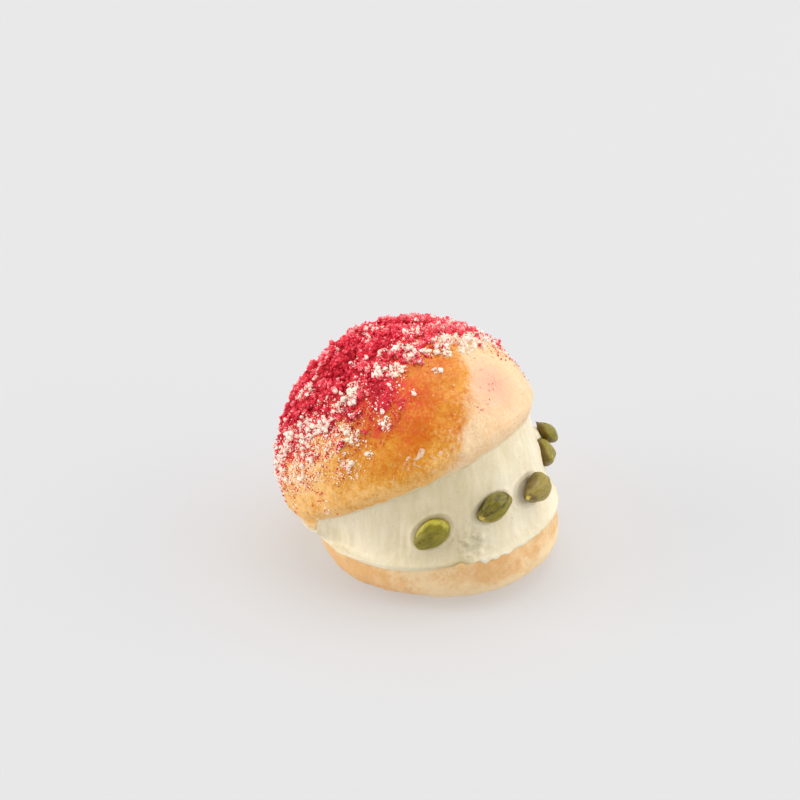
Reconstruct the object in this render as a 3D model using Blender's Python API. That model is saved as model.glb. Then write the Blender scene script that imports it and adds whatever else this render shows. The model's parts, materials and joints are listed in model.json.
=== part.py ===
"""A maritozzo: a round sweet bun, cut from the front and opened like a mouth.

Pistachio cream fills the cut, five pistachio kernels are pressed into the cream, and crumbs are
baked onto the top. The origin is the middle of the foot, +Z is up, and the cut opens towards -Y.
"""

import math
import random

import bmesh
import bpy
from mathutils import Vector

# Bottom half of the bun, in metres
FOOT_RADIUS = 0.0232
BASE_RADIUS = 0.0380
BASE_WIDEST = 0.0081
BASE_FULLNESS = 0.44
BASE_LEAN = 0.0020
LOWER_RIM_RADIUS = 0.0405
LOWER_RIM_HEIGHT = 0.0146
LOWER_TILT = math.radians(6.5)

# Top half, measured from the plane of its own cut
DOME_RADIUS = 0.0447
DOME_WIDEST = 0.0060
DOME_HEIGHT = 0.0470
DOME_ROUNDNESS = 1.9
DOME_BACK_FLAT = 0.0014
UPPER_RIM_RADIUS = 0.0400
UPPER_TILT = math.radians(30.3)

# The uncut strip of crust at the back, which the two halves hang together by
HINGE_SETBACK = 0.0015
HINGE_LIFT = 0.0050
HINGE_FADE = 2.0
HINGE_SPREAD = 10
STRIP_THICKNESS = 0.0058
RIM_LIP = 0.0002

# Where the cut ends at the sides the crust of the top half hangs over it
FOLD_FROM = math.radians(108)
FOLD_TO = math.radians(122)
FOLD_SWELL = 0.0030
FOLD_FULL_LEVEL = 0.6
FOLD_FRONT = 0.0205
FOLD_BACK = 0.0222
FOLD_DROP = 0.0040

# Hand-made unevenness of the crust
UNEVEN_TWOFOLD = 0.0004
UNEVEN_THREEFOLD = 0.0003

# The cream
CLEARANCE = 0.0003
CREAM_WAIST = 0.0022
CREAM_WAIST_LOW = 0.6

# The dab of cream that lifts the last kernel: half its length, width and height
DAB_HALF = (0.0042, 0.0034, 0.0030)

# Pistachio kernels: angle around from the front, level in the cut, turn of the long axis, lean of
# its blunt end out of the cream, length, width, thickness, taper of the tip, middle above the cream
KERNEL_GROOVE = 0.0005
KERNEL_GROOVE_WIDTH = 0.2
TAPER_START = 0.35
TAPER_POWER = 1.2
KERNELS = (
    (55.5, 0.42, 24, 0, 0.0131, 0.0090, 0.0079, 0.42, 0.0014),
    (24.5, 0.47, 10, 0, 0.0140, 0.0078, 0.0074, 0.26, 0.0014),
    (-1.0, 0.42, -1, 0, 0.0148, 0.0097, 0.0077, 0.67, 0.0029),
    (-46.0, 0.43, -175, 0, 0.0136, 0.0079, 0.0069, 0.44, 0.0019),
    (-52.8, 0.63, -64, 31, 0.0132, 0.0055, 0.0055, 0.93, 0.0052),
)

# Crumbs on the top: they reach further down at the back and sides than over the front
CRUMB_TRIES = 235
CRUMB_SMALLEST = 0.0011
CRUMB_LARGEST = 0.0021
CRUMB_AT_EDGE = 0.45
CRUMB_FULL_DEPTH = 30.0
CRUMB_SUNK = 0.40
CRUMB_SIZE_POWER = 1.5
CRUMB_JITTER = 0.03
CRUMB_STRETCH = 0.25
CRUMB_ROUGHNESS = 0.15
CRUMB_BED = 0.0010
CRUMB_BED_EDGE = 9.0
CRUMB_REACH = 80.0
CRUMB_FRONT_DIP = 34.0
CRUMB_DIP_AROUND = 14.0
CRUMB_DIP_WIDTH = 54.0
GOLDEN_ANGLE = math.pi * (3 - math.sqrt(5))
SEED = 7

# Resolution of the lofted skin
SEGMENTS = 52
BASE_RINGS = 6
CUT_RINGS = 6
FLARE_RINGS = 3
DOME_RINGS = 11
SLOT_END_STEPS = 4

BUN_COLOUR = (0.80, 0.46, 0.16)
CREAM_COLOUR = (0.80, 0.77, 0.58)
KERNEL_COLOUR = (0.24, 0.22, 0.04)

LEFT = Vector((-1, 0, 0))
HALF_REACH = 0.065


def clear_scene():
    for item in list(bpy.data.objects):
        bpy.data.objects.remove(item, do_unlink=True)


def new_collection(name):
    collection = bpy.data.collections.new(name)
    bpy.context.scene.collection.children.link(collection)
    return collection


def new_object(name, mesh, collection):
    item = bpy.data.objects.new(name, mesh)
    collection.objects.link(item)
    return item


def food_material(name, colour, roughness):
    material = bpy.data.materials.new(name)
    material.use_nodes = True
    shader = material.node_tree.nodes["Principled BSDF"]
    shader.inputs["Base Color"].default_value = (*colour, 1)
    shader.inputs["Roughness"].default_value = roughness
    shader.inputs["Metallic"].default_value = 0
    return material


def forward(tilt):
    """Direction from the hinge to the front, in a plane tipped up by tilt."""
    return Vector((0, -math.cos(tilt), math.sin(tilt)))


def upward(tilt):
    return Vector((0, math.sin(tilt), math.cos(tilt)))


def lower_rim_centre():
    return Vector((0, 0, LOWER_RIM_HEIGHT))


def cut_ring(level):
    """Centre, radius and tilt of a ring between the bottom half's rim (0) and the top half's (1)."""
    hinge = lower_rim_centre() - LOWER_RIM_RADIUS * forward(LOWER_TILT)
    tilt = LOWER_TILT + (UPPER_TILT - LOWER_TILT) * level
    radius = LOWER_RIM_RADIUS + (UPPER_RIM_RADIUS - LOWER_RIM_RADIUS) * level
    return hinge + (radius - HINGE_SETBACK * level) * forward(tilt), radius, tilt


def upper_rim_centre():
    return cut_ring(1)[0]


def smooth_step(value, low, high):
    """0 below low and 1 above high, with a smooth rise between them."""
    share = min(1, max(0, (value - low) / (high - low)))
    return share * share * (3 - 2 * share)


def near_hinge(around):
    """1 at the back of the bun, fading to nothing towards the sides."""
    return ((1 - math.cos(around)) / 2) ** HINGE_SPREAD


def folded(around):
    """0 along the open cut, rising to 1 where the crust hangs over its end."""
    from_front = abs((around + math.pi) % math.tau - math.pi)
    return smooth_step(from_front, FOLD_FROM, FOLD_TO)


def unevenness(around, phase):
    twofold = UNEVEN_TWOFOLD * math.sin(2 * around + 0.8 + phase)
    return twofold + UNEVEN_THREEFOLD * math.sin(3 * around - 1.1 + 2 * phase)


def ring_point(centre, radius, tilt, around, phase):
    radius += unevenness(around, phase)
    return centre + radius * (math.cos(around) * forward(tilt) + math.sin(around) * LEFT)


def base_point(along, around):
    """Bottom half: along runs from the edge of the foot (0) to the cut (1)."""
    height = LOWER_RIM_HEIGHT * along ** 1.6
    rise = min(1, height / BASE_WIDEST)
    radius = FOOT_RADIUS + (BASE_RADIUS - FOOT_RADIUS) * (rise * (2 - rise)) ** BASE_FULLNESS
    radius += (LOWER_RIM_RADIUS - BASE_RADIUS) * along
    tilt = LOWER_TILT * height / LOWER_RIM_HEIGHT
    lean = BASE_LEAN * math.sin(math.pi * along)
    return ring_point(Vector((0, -lean, height)), radius, tilt, around, 0)


def cut_point(level, around):
    """Side of the filled cut: level runs from the bottom half's rim (0) to the top half's (1)."""
    centre, radius, tilt = cut_ring(level)
    fold = folded(around)
    waist = CREAM_WAIST * math.sin(math.pi * level ** CREAM_WAIST_LOW)
    radius += FOLD_SWELL * fold * smooth_step(level, 0, FOLD_FULL_LEVEL) - waist * (1 - fold)
    lift = HINGE_LIFT * near_hinge(around) * level
    return ring_point(centre, radius, tilt, around, level) + Vector((0, 0, lift))


def dome_point(height, radius, around):
    """Top half, at a height and radius measured from the plane and axis of its cut."""
    share = height / DOME_HEIGHT
    from_top = math.degrees(math.atan2(radius, max(0, height - DOME_WIDEST)))
    bed = CRUMB_BED * crumb_cover(from_top, around)
    fading = near_hinge(around) * max(0, 1 - HINGE_FADE * share) ** 2
    fold = FOLD_SWELL * folded(around) * max(0, 1 - height / DOME_WIDEST) ** 2
    height += bed * math.cos(math.radians(from_top))
    centre = upper_rim_centre() + height * upward(UPPER_TILT)
    if radius == 0:
        return centre
    flat = DOME_BACK_FLAT * math.sin(math.pi * min(1, share)) * (1 - math.cos(around)) / 2
    radius += fold - flat + bed * math.sin(math.radians(from_top))
    point = ring_point(centre, radius, UPPER_TILT, around, 1 + share)
    return point + Vector((0, 0, HINGE_LIFT * fading))


def crumb_reach(around):
    """How far down from the top the crumbs lie, in degrees, at an angle round the bun."""
    off = (math.degrees(around) - CRUMB_DIP_AROUND + 180) % 360 - 180
    return CRUMB_REACH - CRUMB_FRONT_DIP * math.exp(-((off / CRUMB_DIP_WIDTH) ** 2))


def crumb_cover(from_top, around):
    """1 where the crumbs lie, falling smoothly to 0 across their edge."""
    return smooth_step(crumb_reach(around) - from_top, -CRUMB_BED_EDGE / 2, CRUMB_BED_EDGE / 2)


def flare_profile(share):
    """Height and radius where the crust flares out from the cut (0) to the widest ring (1)."""
    return DOME_WIDEST * share, DOME_RADIUS - (DOME_RADIUS - UPPER_RIM_RADIUS) * (1 - share) ** 2


def dome_profile(turn):
    """Height and radius at a turn from the widest ring (0) to the top (a quarter turn)."""
    power = 2 / DOME_ROUNDNESS
    height = DOME_WIDEST + (DOME_HEIGHT - DOME_WIDEST) * math.sin(turn) ** power
    return height, DOME_RADIUS * max(0, math.cos(turn)) ** power


def skin_rings():
    """Rings of points from the foot to just under the top, with the cut filled in."""
    turns = [2 * math.pi * i / SEGMENTS for i in range(SEGMENTS)]
    rings = [[base_point(k / BASE_RINGS, a) for a in turns] for k in range(BASE_RINGS + 1)]
    rings += [[cut_point(k / CUT_RINGS, a) for a in turns] for k in range(1, CUT_RINGS + 1)]
    for k in range(1, FLARE_RINGS + 1):
        height, radius = flare_profile(k / FLARE_RINGS)
        rings.append([dome_point(height, radius, a) for a in turns])
    for k in range(1, DOME_RINGS):
        height, radius = dome_profile(math.pi / 2 * k / DOME_RINGS)
        rings.append([dome_point(height, radius, a) for a in turns])
    return rings


def skin_mesh(name):
    """Closed loft through the tilted rings: a flat foot below and a point at the top."""
    mesh = bpy.data.meshes.new(name)
    bm = bmesh.new()
    rings = [[bm.verts.new(point) for point in ring] for ring in skin_rings()]
    for below, above in zip(rings, rings[1:]):
        for i in range(SEGMENTS):
            j = (i + 1) % SEGMENTS
            bm.faces.new((below[i], below[j], above[j], above[i]))
    bm.faces.new(rings[0])
    top = bm.verts.new(dome_point(DOME_HEIGHT, 0, 0))
    for i in range(SEGMENTS):
        bm.faces.new((rings[-1][i], rings[-1][(i + 1) % SEGMENTS], top))
    sides = [face for face in bm.faces if len(face.verts) == 4]
    bmesh.ops.triangulate(bm, faces=sides)
    bmesh.ops.recalc_face_normals(bm, faces=bm.faces)
    bm.to_mesh(mesh)
    bm.free()
    return mesh


def cut_height(y, centre, tilt):
    """Height of a cut plane at y."""
    return centre.z + (centre.y - y) * math.tan(tilt)


def cut_outline(inset):
    """Side view of the cut: it narrows under the fold of crust and has a rounded inner end."""
    lower = lower_rim_centre() + inset * upward(LOWER_TILT)
    upper = upper_rim_centre() - inset * upward(UPPER_TILT)
    inner = LOWER_RIM_RADIUS - STRIP_THICKNESS - inset
    low = cut_height(inner, lower, LOWER_TILT)
    high = cut_height(inner, upper, UPPER_TILT)
    bulge, middle = (high - low) / 2, (high + low) / 2
    front = -HALF_REACH
    outline = [(front, cut_height(front, lower, LOWER_TILT)), (inner, low)]
    for k in range(1, SLOT_END_STEPS):
        turn = math.pi * (k / SLOT_END_STEPS - 0.5)
        outline.append((inner + bulge * math.cos(turn), middle + bulge * math.sin(turn)))
    fold = (FOLD_BACK, cut_height(FOLD_BACK, upper, UPPER_TILT) - FOLD_DROP)
    open_end = (FOLD_FRONT, cut_height(FOLD_FRONT, upper, UPPER_TILT))
    return outline + [(inner, high), fold, open_end, (front, cut_height(front, upper, UPPER_TILT))]


def cut_wedge(name, inset, collection):
    """Wedge-shaped block that stands for the opened cut, drawn in by inset on every face."""
    mesh = bpy.data.meshes.new(name)
    bm = bmesh.new()
    corners = [bm.verts.new((-HALF_REACH, y, z)) for y, z in cut_outline(inset)]
    side = bm.faces.new(corners)
    grown = bmesh.ops.extrude_face_region(bm, geom=[side])["geom"]
    moved = [part for part in grown if isinstance(part, bmesh.types.BMVert)]
    bmesh.ops.translate(bm, verts=moved, vec=(2 * HALF_REACH, 0, 0))
    bmesh.ops.recalc_face_normals(bm, faces=bm.faces)
    bm.to_mesh(mesh)
    bm.free()
    return as_cutter(new_object(name, mesh, collection))


def as_cutter(item):
    item.hide_render = True
    item.display_type = "WIRE"
    return item


def add_boolean(item, operation, cutter):
    modifier = item.modifiers.new(f"{operation.lower()} {cutter.name}", "BOOLEAN")
    modifier.operation = operation
    modifier.solver = "EXACT"
    modifier.object = cutter


def crumb_places(rng):
    """Places, outward directions and depths inside the crumbs' edge, spread evenly over the dome."""
    places = []
    lowest = math.cos(math.radians(CRUMB_REACH))
    for k in range(CRUMB_TRIES):
        from_top = math.acos(1 - (k + 0.5) / CRUMB_TRIES * (1 - lowest)) + rng.gauss(0, CRUMB_JITTER)
        around = (k * GOLDEN_ANGLE + rng.gauss(0, CRUMB_JITTER)) % (2 * math.pi)
        depth = crumb_reach(around) - math.degrees(from_top)
        if depth > 0:
            height, radius = dome_profile(math.pi / 2 - abs(from_top))
            point = dome_point(height, radius, around)
            middle = upper_rim_centre() + DOME_WIDEST * upward(UPPER_TILT)
            places.append((point, (point - middle).normalized(), depth))
    return places


def crumb_mesh(name, size, rng):
    """A craggy lump: a rough ball pulled out of round in each direction."""
    mesh = bpy.data.meshes.new(name)
    bm = bmesh.new()
    bmesh.ops.create_icosphere(bm, subdivisions=1, radius=size)
    stretch = [rng.uniform(1 - CRUMB_STRETCH, 1 + CRUMB_STRETCH) for _ in range(3)]
    for corner in bm.verts:
        rough = rng.uniform(1 - CRUMB_ROUGHNESS, 1 + CRUMB_ROUGHNESS)
        corner.co = Vector([rough * s * c for s, c in zip(stretch, corner.co)])
    bm.to_mesh(mesh)
    bm.free()
    return mesh


def add_crumbs(bun, rng):
    """Joins the crumbs to the bun and keeps the one outer surface that results."""
    crumbs = new_collection("crumbs")
    for number, (point, outward, depth) in enumerate(crumb_places(rng)):
        size = CRUMB_SMALLEST + (CRUMB_LARGEST - CRUMB_SMALLEST) * rng.random() ** CRUMB_SIZE_POWER
        size *= CRUMB_AT_EDGE + (1 - CRUMB_AT_EDGE) * min(1, depth / CRUMB_FULL_DEPTH)
        name = f"crumb {number}"
        crumb = new_object(name, crumb_mesh(name, size, rng), crumbs)
        crumb.location = point + (1 - 2 * CRUMB_SUNK) * size * outward
        crumb.rotation_euler = [rng.uniform(0, math.tau) for _ in range(3)]
    union = bun.modifiers.new("crumbs", "BOOLEAN")
    union.operation = "UNION"
    union.solver = "EXACT"
    union.operand_type = "COLLECTION"
    union.collection = crumbs
    apply_modifiers(bun)
    for crumb in list(crumbs.objects):
        bpy.data.objects.remove(crumb, do_unlink=True)
    bpy.data.collections.remove(crumbs)
    keep_largest_shell(bun)


def apply_modifiers(item):
    bpy.context.view_layer.update()
    graph = bpy.context.evaluated_depsgraph_get()
    mesh = bpy.data.meshes.new_from_object(item.evaluated_get(graph))
    item.modifiers.clear()
    item.data = mesh


def shells(bm):
    """Groups of faces that hang together."""
    left = set(bm.faces)
    groups = []
    while left:
        group, waiting = [], [left.pop()]
        while waiting:
            face = waiting.pop()
            group.append(face)
            for edge in face.edges:
                for other in edge.link_faces:
                    if other in left:
                        left.remove(other)
                        waiting.append(other)
        groups.append(group)
    return groups


def keep_largest_shell(item):
    """Drops loose scraps and fills hollows that the crumbs have sealed."""
    bm = bmesh.new()
    bm.from_mesh(item.data)
    groups = sorted(shells(bm), key=len)
    for group in groups[:-1]:
        bmesh.ops.delete(bm, geom=group, context="FACES")
    bm.to_mesh(item.data)
    bm.free()


def cream_frame(around, level):
    """A place on the cream's side, with directions towards the front, up across the cut and out."""
    step = 1e-4
    place = cut_point(level, around)
    across_cut = (cut_point(level + step, around) - place).normalized()
    sideways = (cut_point(level, around - step) - place).normalized()
    outward = sideways.cross(across_cut).normalized()
    return place, sideways, outward.cross(sideways), outward


def kernel_frame(around, level, turn, lean, stands_out):
    """Middle of a kernel, with directions along it, across it and through it."""
    place, sideways, rise, outward = cream_frame(around, level)
    flat = math.cos(turn) * sideways + math.sin(turn) * rise
    along = math.cos(lean) * flat + math.sin(lean) * outward
    through = math.cos(lean) * outward - math.sin(lean) * flat
    return place + stands_out * outward, along, outward.cross(flat), through


def kernel_thinning(along, taper):
    """Share of its full breadth that a kernel has, from its blunt end (1) to its tip (-1)."""
    return 1 - taper * max(0, (TAPER_START - along) / (1 + TAPER_START)) ** TAPER_POWER


def kernel_mesh(name, placing, growth):
    """One kernel set in the cream; growth makes the larger form that its seat is cut with."""
    around, level, turn, lean, length, width, thickness, taper, stands_out = placing
    angles = [math.radians(angle) for angle in (around, turn, lean)]
    frame = kernel_frame(angles[0], level, angles[1], angles[2], stands_out)
    middle, along, across, through = frame
    mesh = bpy.data.meshes.new(name)
    bm = bmesh.new()
    bmesh.ops.create_uvsphere(bm, u_segments=16, v_segments=10, radius=1)
    for corner in bm.verts:
        x, y, z = corner.co
        thin = kernel_thinning(z, taper)
        groove = math.exp(-((x / KERNEL_GROOVE_WIDTH) ** 2)) * (1 - z * z) if y > 0 else 0
        out = thickness / 2 * y * thin - KERNEL_GROOVE * groove
        offset = width / 2 * x * thin * across + out * through + length / 2 * z * along
        corner.co = middle + offset * (1 + growth / offset.length)
    bm.to_mesh(mesh)
    bm.free()
    mesh.shade_smooth()
    return mesh


def dab_mesh(name):
    """Low mound on the cream, under the kernel that stands out most."""
    around, level = KERNELS[-1][:2]
    place, *axes = cream_frame(math.radians(around), level)
    mesh = bpy.data.meshes.new(name)
    bm = bmesh.new()
    bmesh.ops.create_uvsphere(bm, u_segments=12, v_segments=8, radius=1)
    for corner in bm.verts:
        offset = [half * share * axis for half, share, axis in zip(DAB_HALF, corner.co, axes)]
        corner.co = place + sum(offset, Vector())
    bm.to_mesh(mesh)
    bm.free()
    return mesh


def build_bun(parts, guides):
    bun = new_object("bun", skin_mesh("bun"), parts)
    add_boolean(bun, "DIFFERENCE", cut_wedge("cut", RIM_LIP, guides))
    apply_modifiers(bun)
    add_crumbs(bun, random.Random(SEED))
    bun.data.materials.clear()
    bun.data.materials.append(food_material("crust", BUN_COLOUR, 0.35))


def build_cream(parts, guides):
    cream = new_object("cream", skin_mesh("cream"), parts)
    add_boolean(cream, "INTERSECT", cut_wedge("filling", RIM_LIP + CLEARANCE, guides))
    add_boolean(cream, "UNION", as_cutter(new_object("dab", dab_mesh("dab"), guides)))
    for number, placing in enumerate(KERNELS, 1):
        name = f"seat {number}"
        seat = as_cutter(new_object(name, kernel_mesh(name, placing, 1.5 * CLEARANCE), guides))
        add_boolean(cream, "DIFFERENCE", seat)
    cream.data.materials.append(food_material("cream", CREAM_COLOUR, 0.5))


def build_kernels(parts):
    material = food_material("pistachio", KERNEL_COLOUR, 0.4)
    for number, placing in enumerate(KERNELS, 1):
        name = f"pistachio_{number}"
        kernel = new_object(name, kernel_mesh(name, placing, 0), parts)
        kernel.data.materials.append(material)


def main():
    clear_scene()
    parts = new_collection("maritozzo")
    guides = new_collection("guides")
    build_bun(parts, guides)
    build_cream(parts, guides)
    build_kernels(parts)


main()
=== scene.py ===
"""Dresses a maritozzo: glazed crust, pistachio cream, peeled kernels and a raspberry crumb topping.

The origin is the middle of the bun's foot, +Z is up, and the cut opens towards -Y. Lengths are in
metres. Angles round the bun are measured from the front, towards -X.
"""

import json
import math
from collections import namedtuple

import bmesh
import bpy
import numpy as np
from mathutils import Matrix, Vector
from mathutils.bvhtree import BVHTree

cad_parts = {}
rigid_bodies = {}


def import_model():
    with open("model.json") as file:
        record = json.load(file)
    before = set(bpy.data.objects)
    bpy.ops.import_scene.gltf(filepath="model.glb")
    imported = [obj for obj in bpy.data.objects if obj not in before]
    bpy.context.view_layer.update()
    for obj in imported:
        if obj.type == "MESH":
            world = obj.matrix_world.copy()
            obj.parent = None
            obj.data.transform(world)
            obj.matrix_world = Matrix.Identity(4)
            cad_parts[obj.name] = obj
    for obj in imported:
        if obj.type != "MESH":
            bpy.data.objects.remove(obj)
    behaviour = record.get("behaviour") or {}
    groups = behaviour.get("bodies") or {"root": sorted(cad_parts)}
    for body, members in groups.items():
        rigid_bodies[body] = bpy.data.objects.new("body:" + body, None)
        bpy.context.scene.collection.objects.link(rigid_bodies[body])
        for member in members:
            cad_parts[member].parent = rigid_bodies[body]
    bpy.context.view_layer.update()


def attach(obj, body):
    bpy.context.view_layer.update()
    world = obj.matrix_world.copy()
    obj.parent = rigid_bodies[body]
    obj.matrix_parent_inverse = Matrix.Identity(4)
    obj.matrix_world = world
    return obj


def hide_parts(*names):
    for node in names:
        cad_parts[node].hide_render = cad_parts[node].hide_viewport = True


bl_info = {
    "name": "Maritozzo",
    "version": (1, 0, 0),
    "blender": (4, 5, 0),
    "location": "View3D > Sidebar > Maritozzo",
    "description": "A round sweet bun with pistachio cream, kernels and a raspberry crumb topping",
    "category": "Add Mesh",
}

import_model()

# Bottom half of the bun
FOOT_RADIUS = 0.0232
BASE_RADIUS = 0.0380
BASE_WIDEST = 0.0081
BASE_FULLNESS = 0.44
BASE_LEAN = 0.0020
LOWER_RIM_RADIUS = 0.0405
LOWER_RIM_HEIGHT = 0.0146
LOWER_TILT = math.radians(6.5)

# Top half, measured from the plane of its own cut
DOME_RADIUS = 0.0447
DOME_WIDEST = 0.0060
DOME_HEIGHT = 0.0470
DOME_ROUNDNESS = 1.9
DOME_BACK_FLAT = 0.0014
UPPER_RIM_RADIUS = 0.0400
UPPER_TILT = math.radians(30.3)

# Uncut strip of crust at the back
HINGE_SETBACK = 0.0015
HINGE_LIFT = 0.0050
HINGE_FADE = 2.0
HINGE_SPREAD = 10
STRIP_THICKNESS = 0.0058
RIM_LIP = 0.0002

# Where the cut ends at the sides the crust of the top half hangs over it
FOLD_FROM = math.radians(108)
FOLD_TO = math.radians(122)
FOLD_SWELL = 0.0030
FOLD_FULL_LEVEL = 0.6
FOLD_FRONT = 0.0205
FOLD_BACK = 0.0222
FOLD_DROP = 0.0040

# Unevenness of the crust, and how far the cream draws in between the two rims
UNEVEN_TWOFOLD = 0.0004
UNEVEN_THREEFOLD = 0.0003
CREAM_WAIST = 0.0022
CREAM_WAIST_LOW = 0.6

# The dab of cream that lifts the last kernel: half its length, width and height
DAB_HALF = np.array((0.0042, 0.0034, 0.0030))

# Kernels. around: degrees from the front; level: in the cut; turn and lean: degrees of the long axis
# and of the blunt end out of the cream; taper: of the tip; stands_out: middle above the cream
Kernel = namedtuple("Kernel", "around level turn lean length width thickness taper stands_out")
KERNELS = (
    Kernel(55.5, 0.42, 24, 0, 0.0131, 0.0090, 0.0079, 0.42, 0.0014),
    Kernel(24.5, 0.47, 10, 0, 0.0140, 0.0078, 0.0074, 0.26, 0.0014),
    Kernel(-1.0, 0.42, -1, 0, 0.0148, 0.0097, 0.0077, 0.67, 0.0029),
    Kernel(-46.0, 0.43, -175, 0, 0.0136, 0.0079, 0.0069, 0.44, 0.0019),
    Kernel(-52.8, 0.63, -64, 31, 0.0132, 0.0055, 0.0055, 0.93, 0.0052),
)
KERNEL_GROOVE = 0.0005
KERNEL_GROOVE_WIDTH = 0.2
TAPER_START = 0.35
TAPER_POWER = 1.2
LOBE_STEP = 0.14

# How each kernel's outer side looks, from 0 to 1: light edge (the kernel's lighter edge, brightened on
# its lit side as a painted highlight), step between its two lobes, yellow scar, browned side (browned
# skin, and painted shade where it meets the cream), khaki skin; and where the lobes meet across it
KernelSide = namedtuple("KernelSide", "edge lobes scar browned khaki meeting")
KERNEL_SIDES = (
    KernelSide(1.00, 0.00, 0.00, 0.45, 0.15, 0.55),
    KernelSide(0.10, 1.00, 0.90, 0.45, 0.25, 0.05),
    KernelSide(0.15, 0.15, 1.00, 1.00, 0.75, -0.45),
    KernelSide(0.60, 0.25, 0.00, 0.95, 0.35, 0.45),
    KernelSide(0.10, 0.30, 0.20, 1.00, 0.20, 0.20),
)

# Where the crumbs lie, in degrees from the top
CRUMB_BED = 0.0010
CRUMB_BED_EDGE = 9.0
CRUMB_REACH = 80.0
CRUMB_FRONT_DIP = 34.0
CRUMB_DIP_AROUND = 14.0
CRUMB_DIP_WIDTH = 54.0

# Direction in which the crumbs are heaped highest
HEAP = np.array((0.3255, 0.4519, 0.8306))

# Places on the top half, each by its degrees around, its height over the cut and its spread: hollows
# and their depth, a pink blush, a patch that stayed bare, specks of powder, and white crumbs
HOLLOWS = (((-31, 0.0072, 0.0085), 0.0015), ((-40, 0.0190, 0.0120), 0.0008))
BLUSH = (-1, 0.0190, 0.0085)
BLUSH_POWDER = (-2, 0.0185, 0.0055)
BARE_PATCH = (29.0, 0.0330, 0.0024)
RED_SPOTS = ((13.0, 0.0138, 0.0012), (10.0, 0.0150, 0.0012), (1.5, 0.0185, 0.0012))
WHITE_CLUSTERS = (
    (-19.0, 0.0310, 0.0030),
    (-9.0, 0.0310, 0.0036),
    (3.0, 0.0330, 0.0026),
    (18.0, 0.0300, 0.0013),
    (35.0, 0.0280, 0.0013),
    (36.0, 0.0355, 0.0030),
    (46.0, 0.0370, 0.0024),
    (26.0, 0.0400, 0.0016),
    (9.0, 0.0390, 0.0014),
    (21.0, 0.0450, 0.0012),
    (54.0, 0.0235, 0.0024),
    (66.0, 0.0170, 0.0016),
    (68.0, 0.0340, 0.0032),
    (70.0, 0.0230, 0.0030),
    (77.0, 0.0165, 0.0022),
)

# The browned side of the crust ends at AROUND (degrees) at one HEIGHT over the cut, and further
# to the left below it, by SLANT degrees for each metre
AMBER_EDGE_HEIGHT = 0.026
AMBER_EDGE_AROUND = 7.0
AMBER_EDGE_SLANT = 1470.0

# Flakes and hair-like creases of dried glaze on the crust: around (degrees), height over the cut,
# length, width, and turn of the length up from level (degrees)
GLAZE_MARKS = (
    (46.0, 0.0106, 0.0052, 0.0018, 18),
    (51.0, 0.0112, 0.0020, 0.0012, 10),
    (38.0, 0.0085, 0.0016, 0.0011, 15),
    (107.0, 0.0062, 0.0019, 0.0010, 5),
    (73.0, 0.0030, 0.0036, 0.00035, 55),
    (49.0, 0.0082, 0.0042, 0.00030, -50),
    (41.0, 0.0078, 0.0038, 0.00028, -58),
    (35.0, 0.0030, 0.0040, 0.00032, 62),
    (44.0, 0.0040, 0.0034, 0.00026, 35),
    (60.0, 0.0070, 0.0030, 0.00026, 70),
    (88.0, 0.0080, 0.0034, 0.00028, 80),
)

# Cream: how far it runs round, how far it goes under the crust, and half its width at the inner end
CREAM_END = math.radians(147)
CREAM_UNDER = 0.0001
SPINE_HALF = 0.0205

# Where the cream was disturbed between two kernels, and a loose drop of it: around and level
DISTURBED = (39.0, 0.16)
LOOSE_DROP = (33.5, 0.22)

# Rows of the cream's edges: share of the edge's reach over the crust, and lift off it
BRIM_ROWS = ((0.15, 0.00010), (0.45, 0.00012), (0.75, 0.00007), (1.0, -0.00015))
LIP_ROWS = ((1.0, -0.00015), (0.95, 0.00012), (0.7, 0.00026), (0.35, 0.00032))

# Lengths of the bun's side view along the base, the cut, the flare and the dome
BASE_RUN = 0.032
CUT_RUN = 0.030
FLARE_RUN = 0.009
DOME_RUN = 0.068

# Fineness of the meshes
SKIN_STEP = 0.0007
SKIN_SEGMENTS = 420
CREAM_COLUMNS = 520
CREAM_ROWS = 64
UNDER_ROWS = 8
KERNEL_SEGMENTS = 88
KERNEL_RINGS = 64
GLAZE_GRID = (25, 9)

# The camera's angle round the bun, measured as the kernels' is, and up from the floor
VIEW_AROUND = math.radians(57.687)
VIEW_ELEVATION = math.radians(31.8846)

LEFT = np.array((-1.0, 0.0, 0.0))
UP_AXIS = np.array((0.0, 0.0, 1.0))
LOWER_RIM_CENTRE = np.array((0.0, 0.0, LOWER_RIM_HEIGHT))
HALF_REACH = 0.065


# ---------------------------------------------------------------- form of the bun


def forward(tilt):
    """Direction from the hinge to the front, in a plane tipped up by tilt."""
    tilt = np.asarray(tilt, float)
    return np.stack((0 * tilt, -np.cos(tilt), np.sin(tilt)), -1)


def upward(tilt):
    tilt = np.asarray(tilt, float)
    return np.stack((0 * tilt, np.sin(tilt), np.cos(tilt)), -1)


def smooth_step(value, low, high):
    """0 below low and 1 above high, with a smooth rise between them."""
    share = np.clip((value - low) / (high - low), 0, 1)
    return share * share * (3 - 2 * share)


def bump(value, middle, width):
    """A bell of height 1 around the middle."""
    return np.exp(-(((value - middle) / width) ** 2))


def waves(points, size, seed, count=28):
    """Smooth random field with a spread of about 1 and lumps about size across."""
    rng = np.random.default_rng(seed)
    directions = rng.normal(size=(count, 3))
    directions /= np.linalg.norm(directions, axis=1, keepdims=True)
    directions *= math.pi / size * rng.uniform(0.6, 1.4, (count, 1))
    phases = rng.uniform(0, math.tau, count)
    return math.sqrt(2 / count) * np.sin(points @ directions.T + phases).sum(-1)


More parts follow.
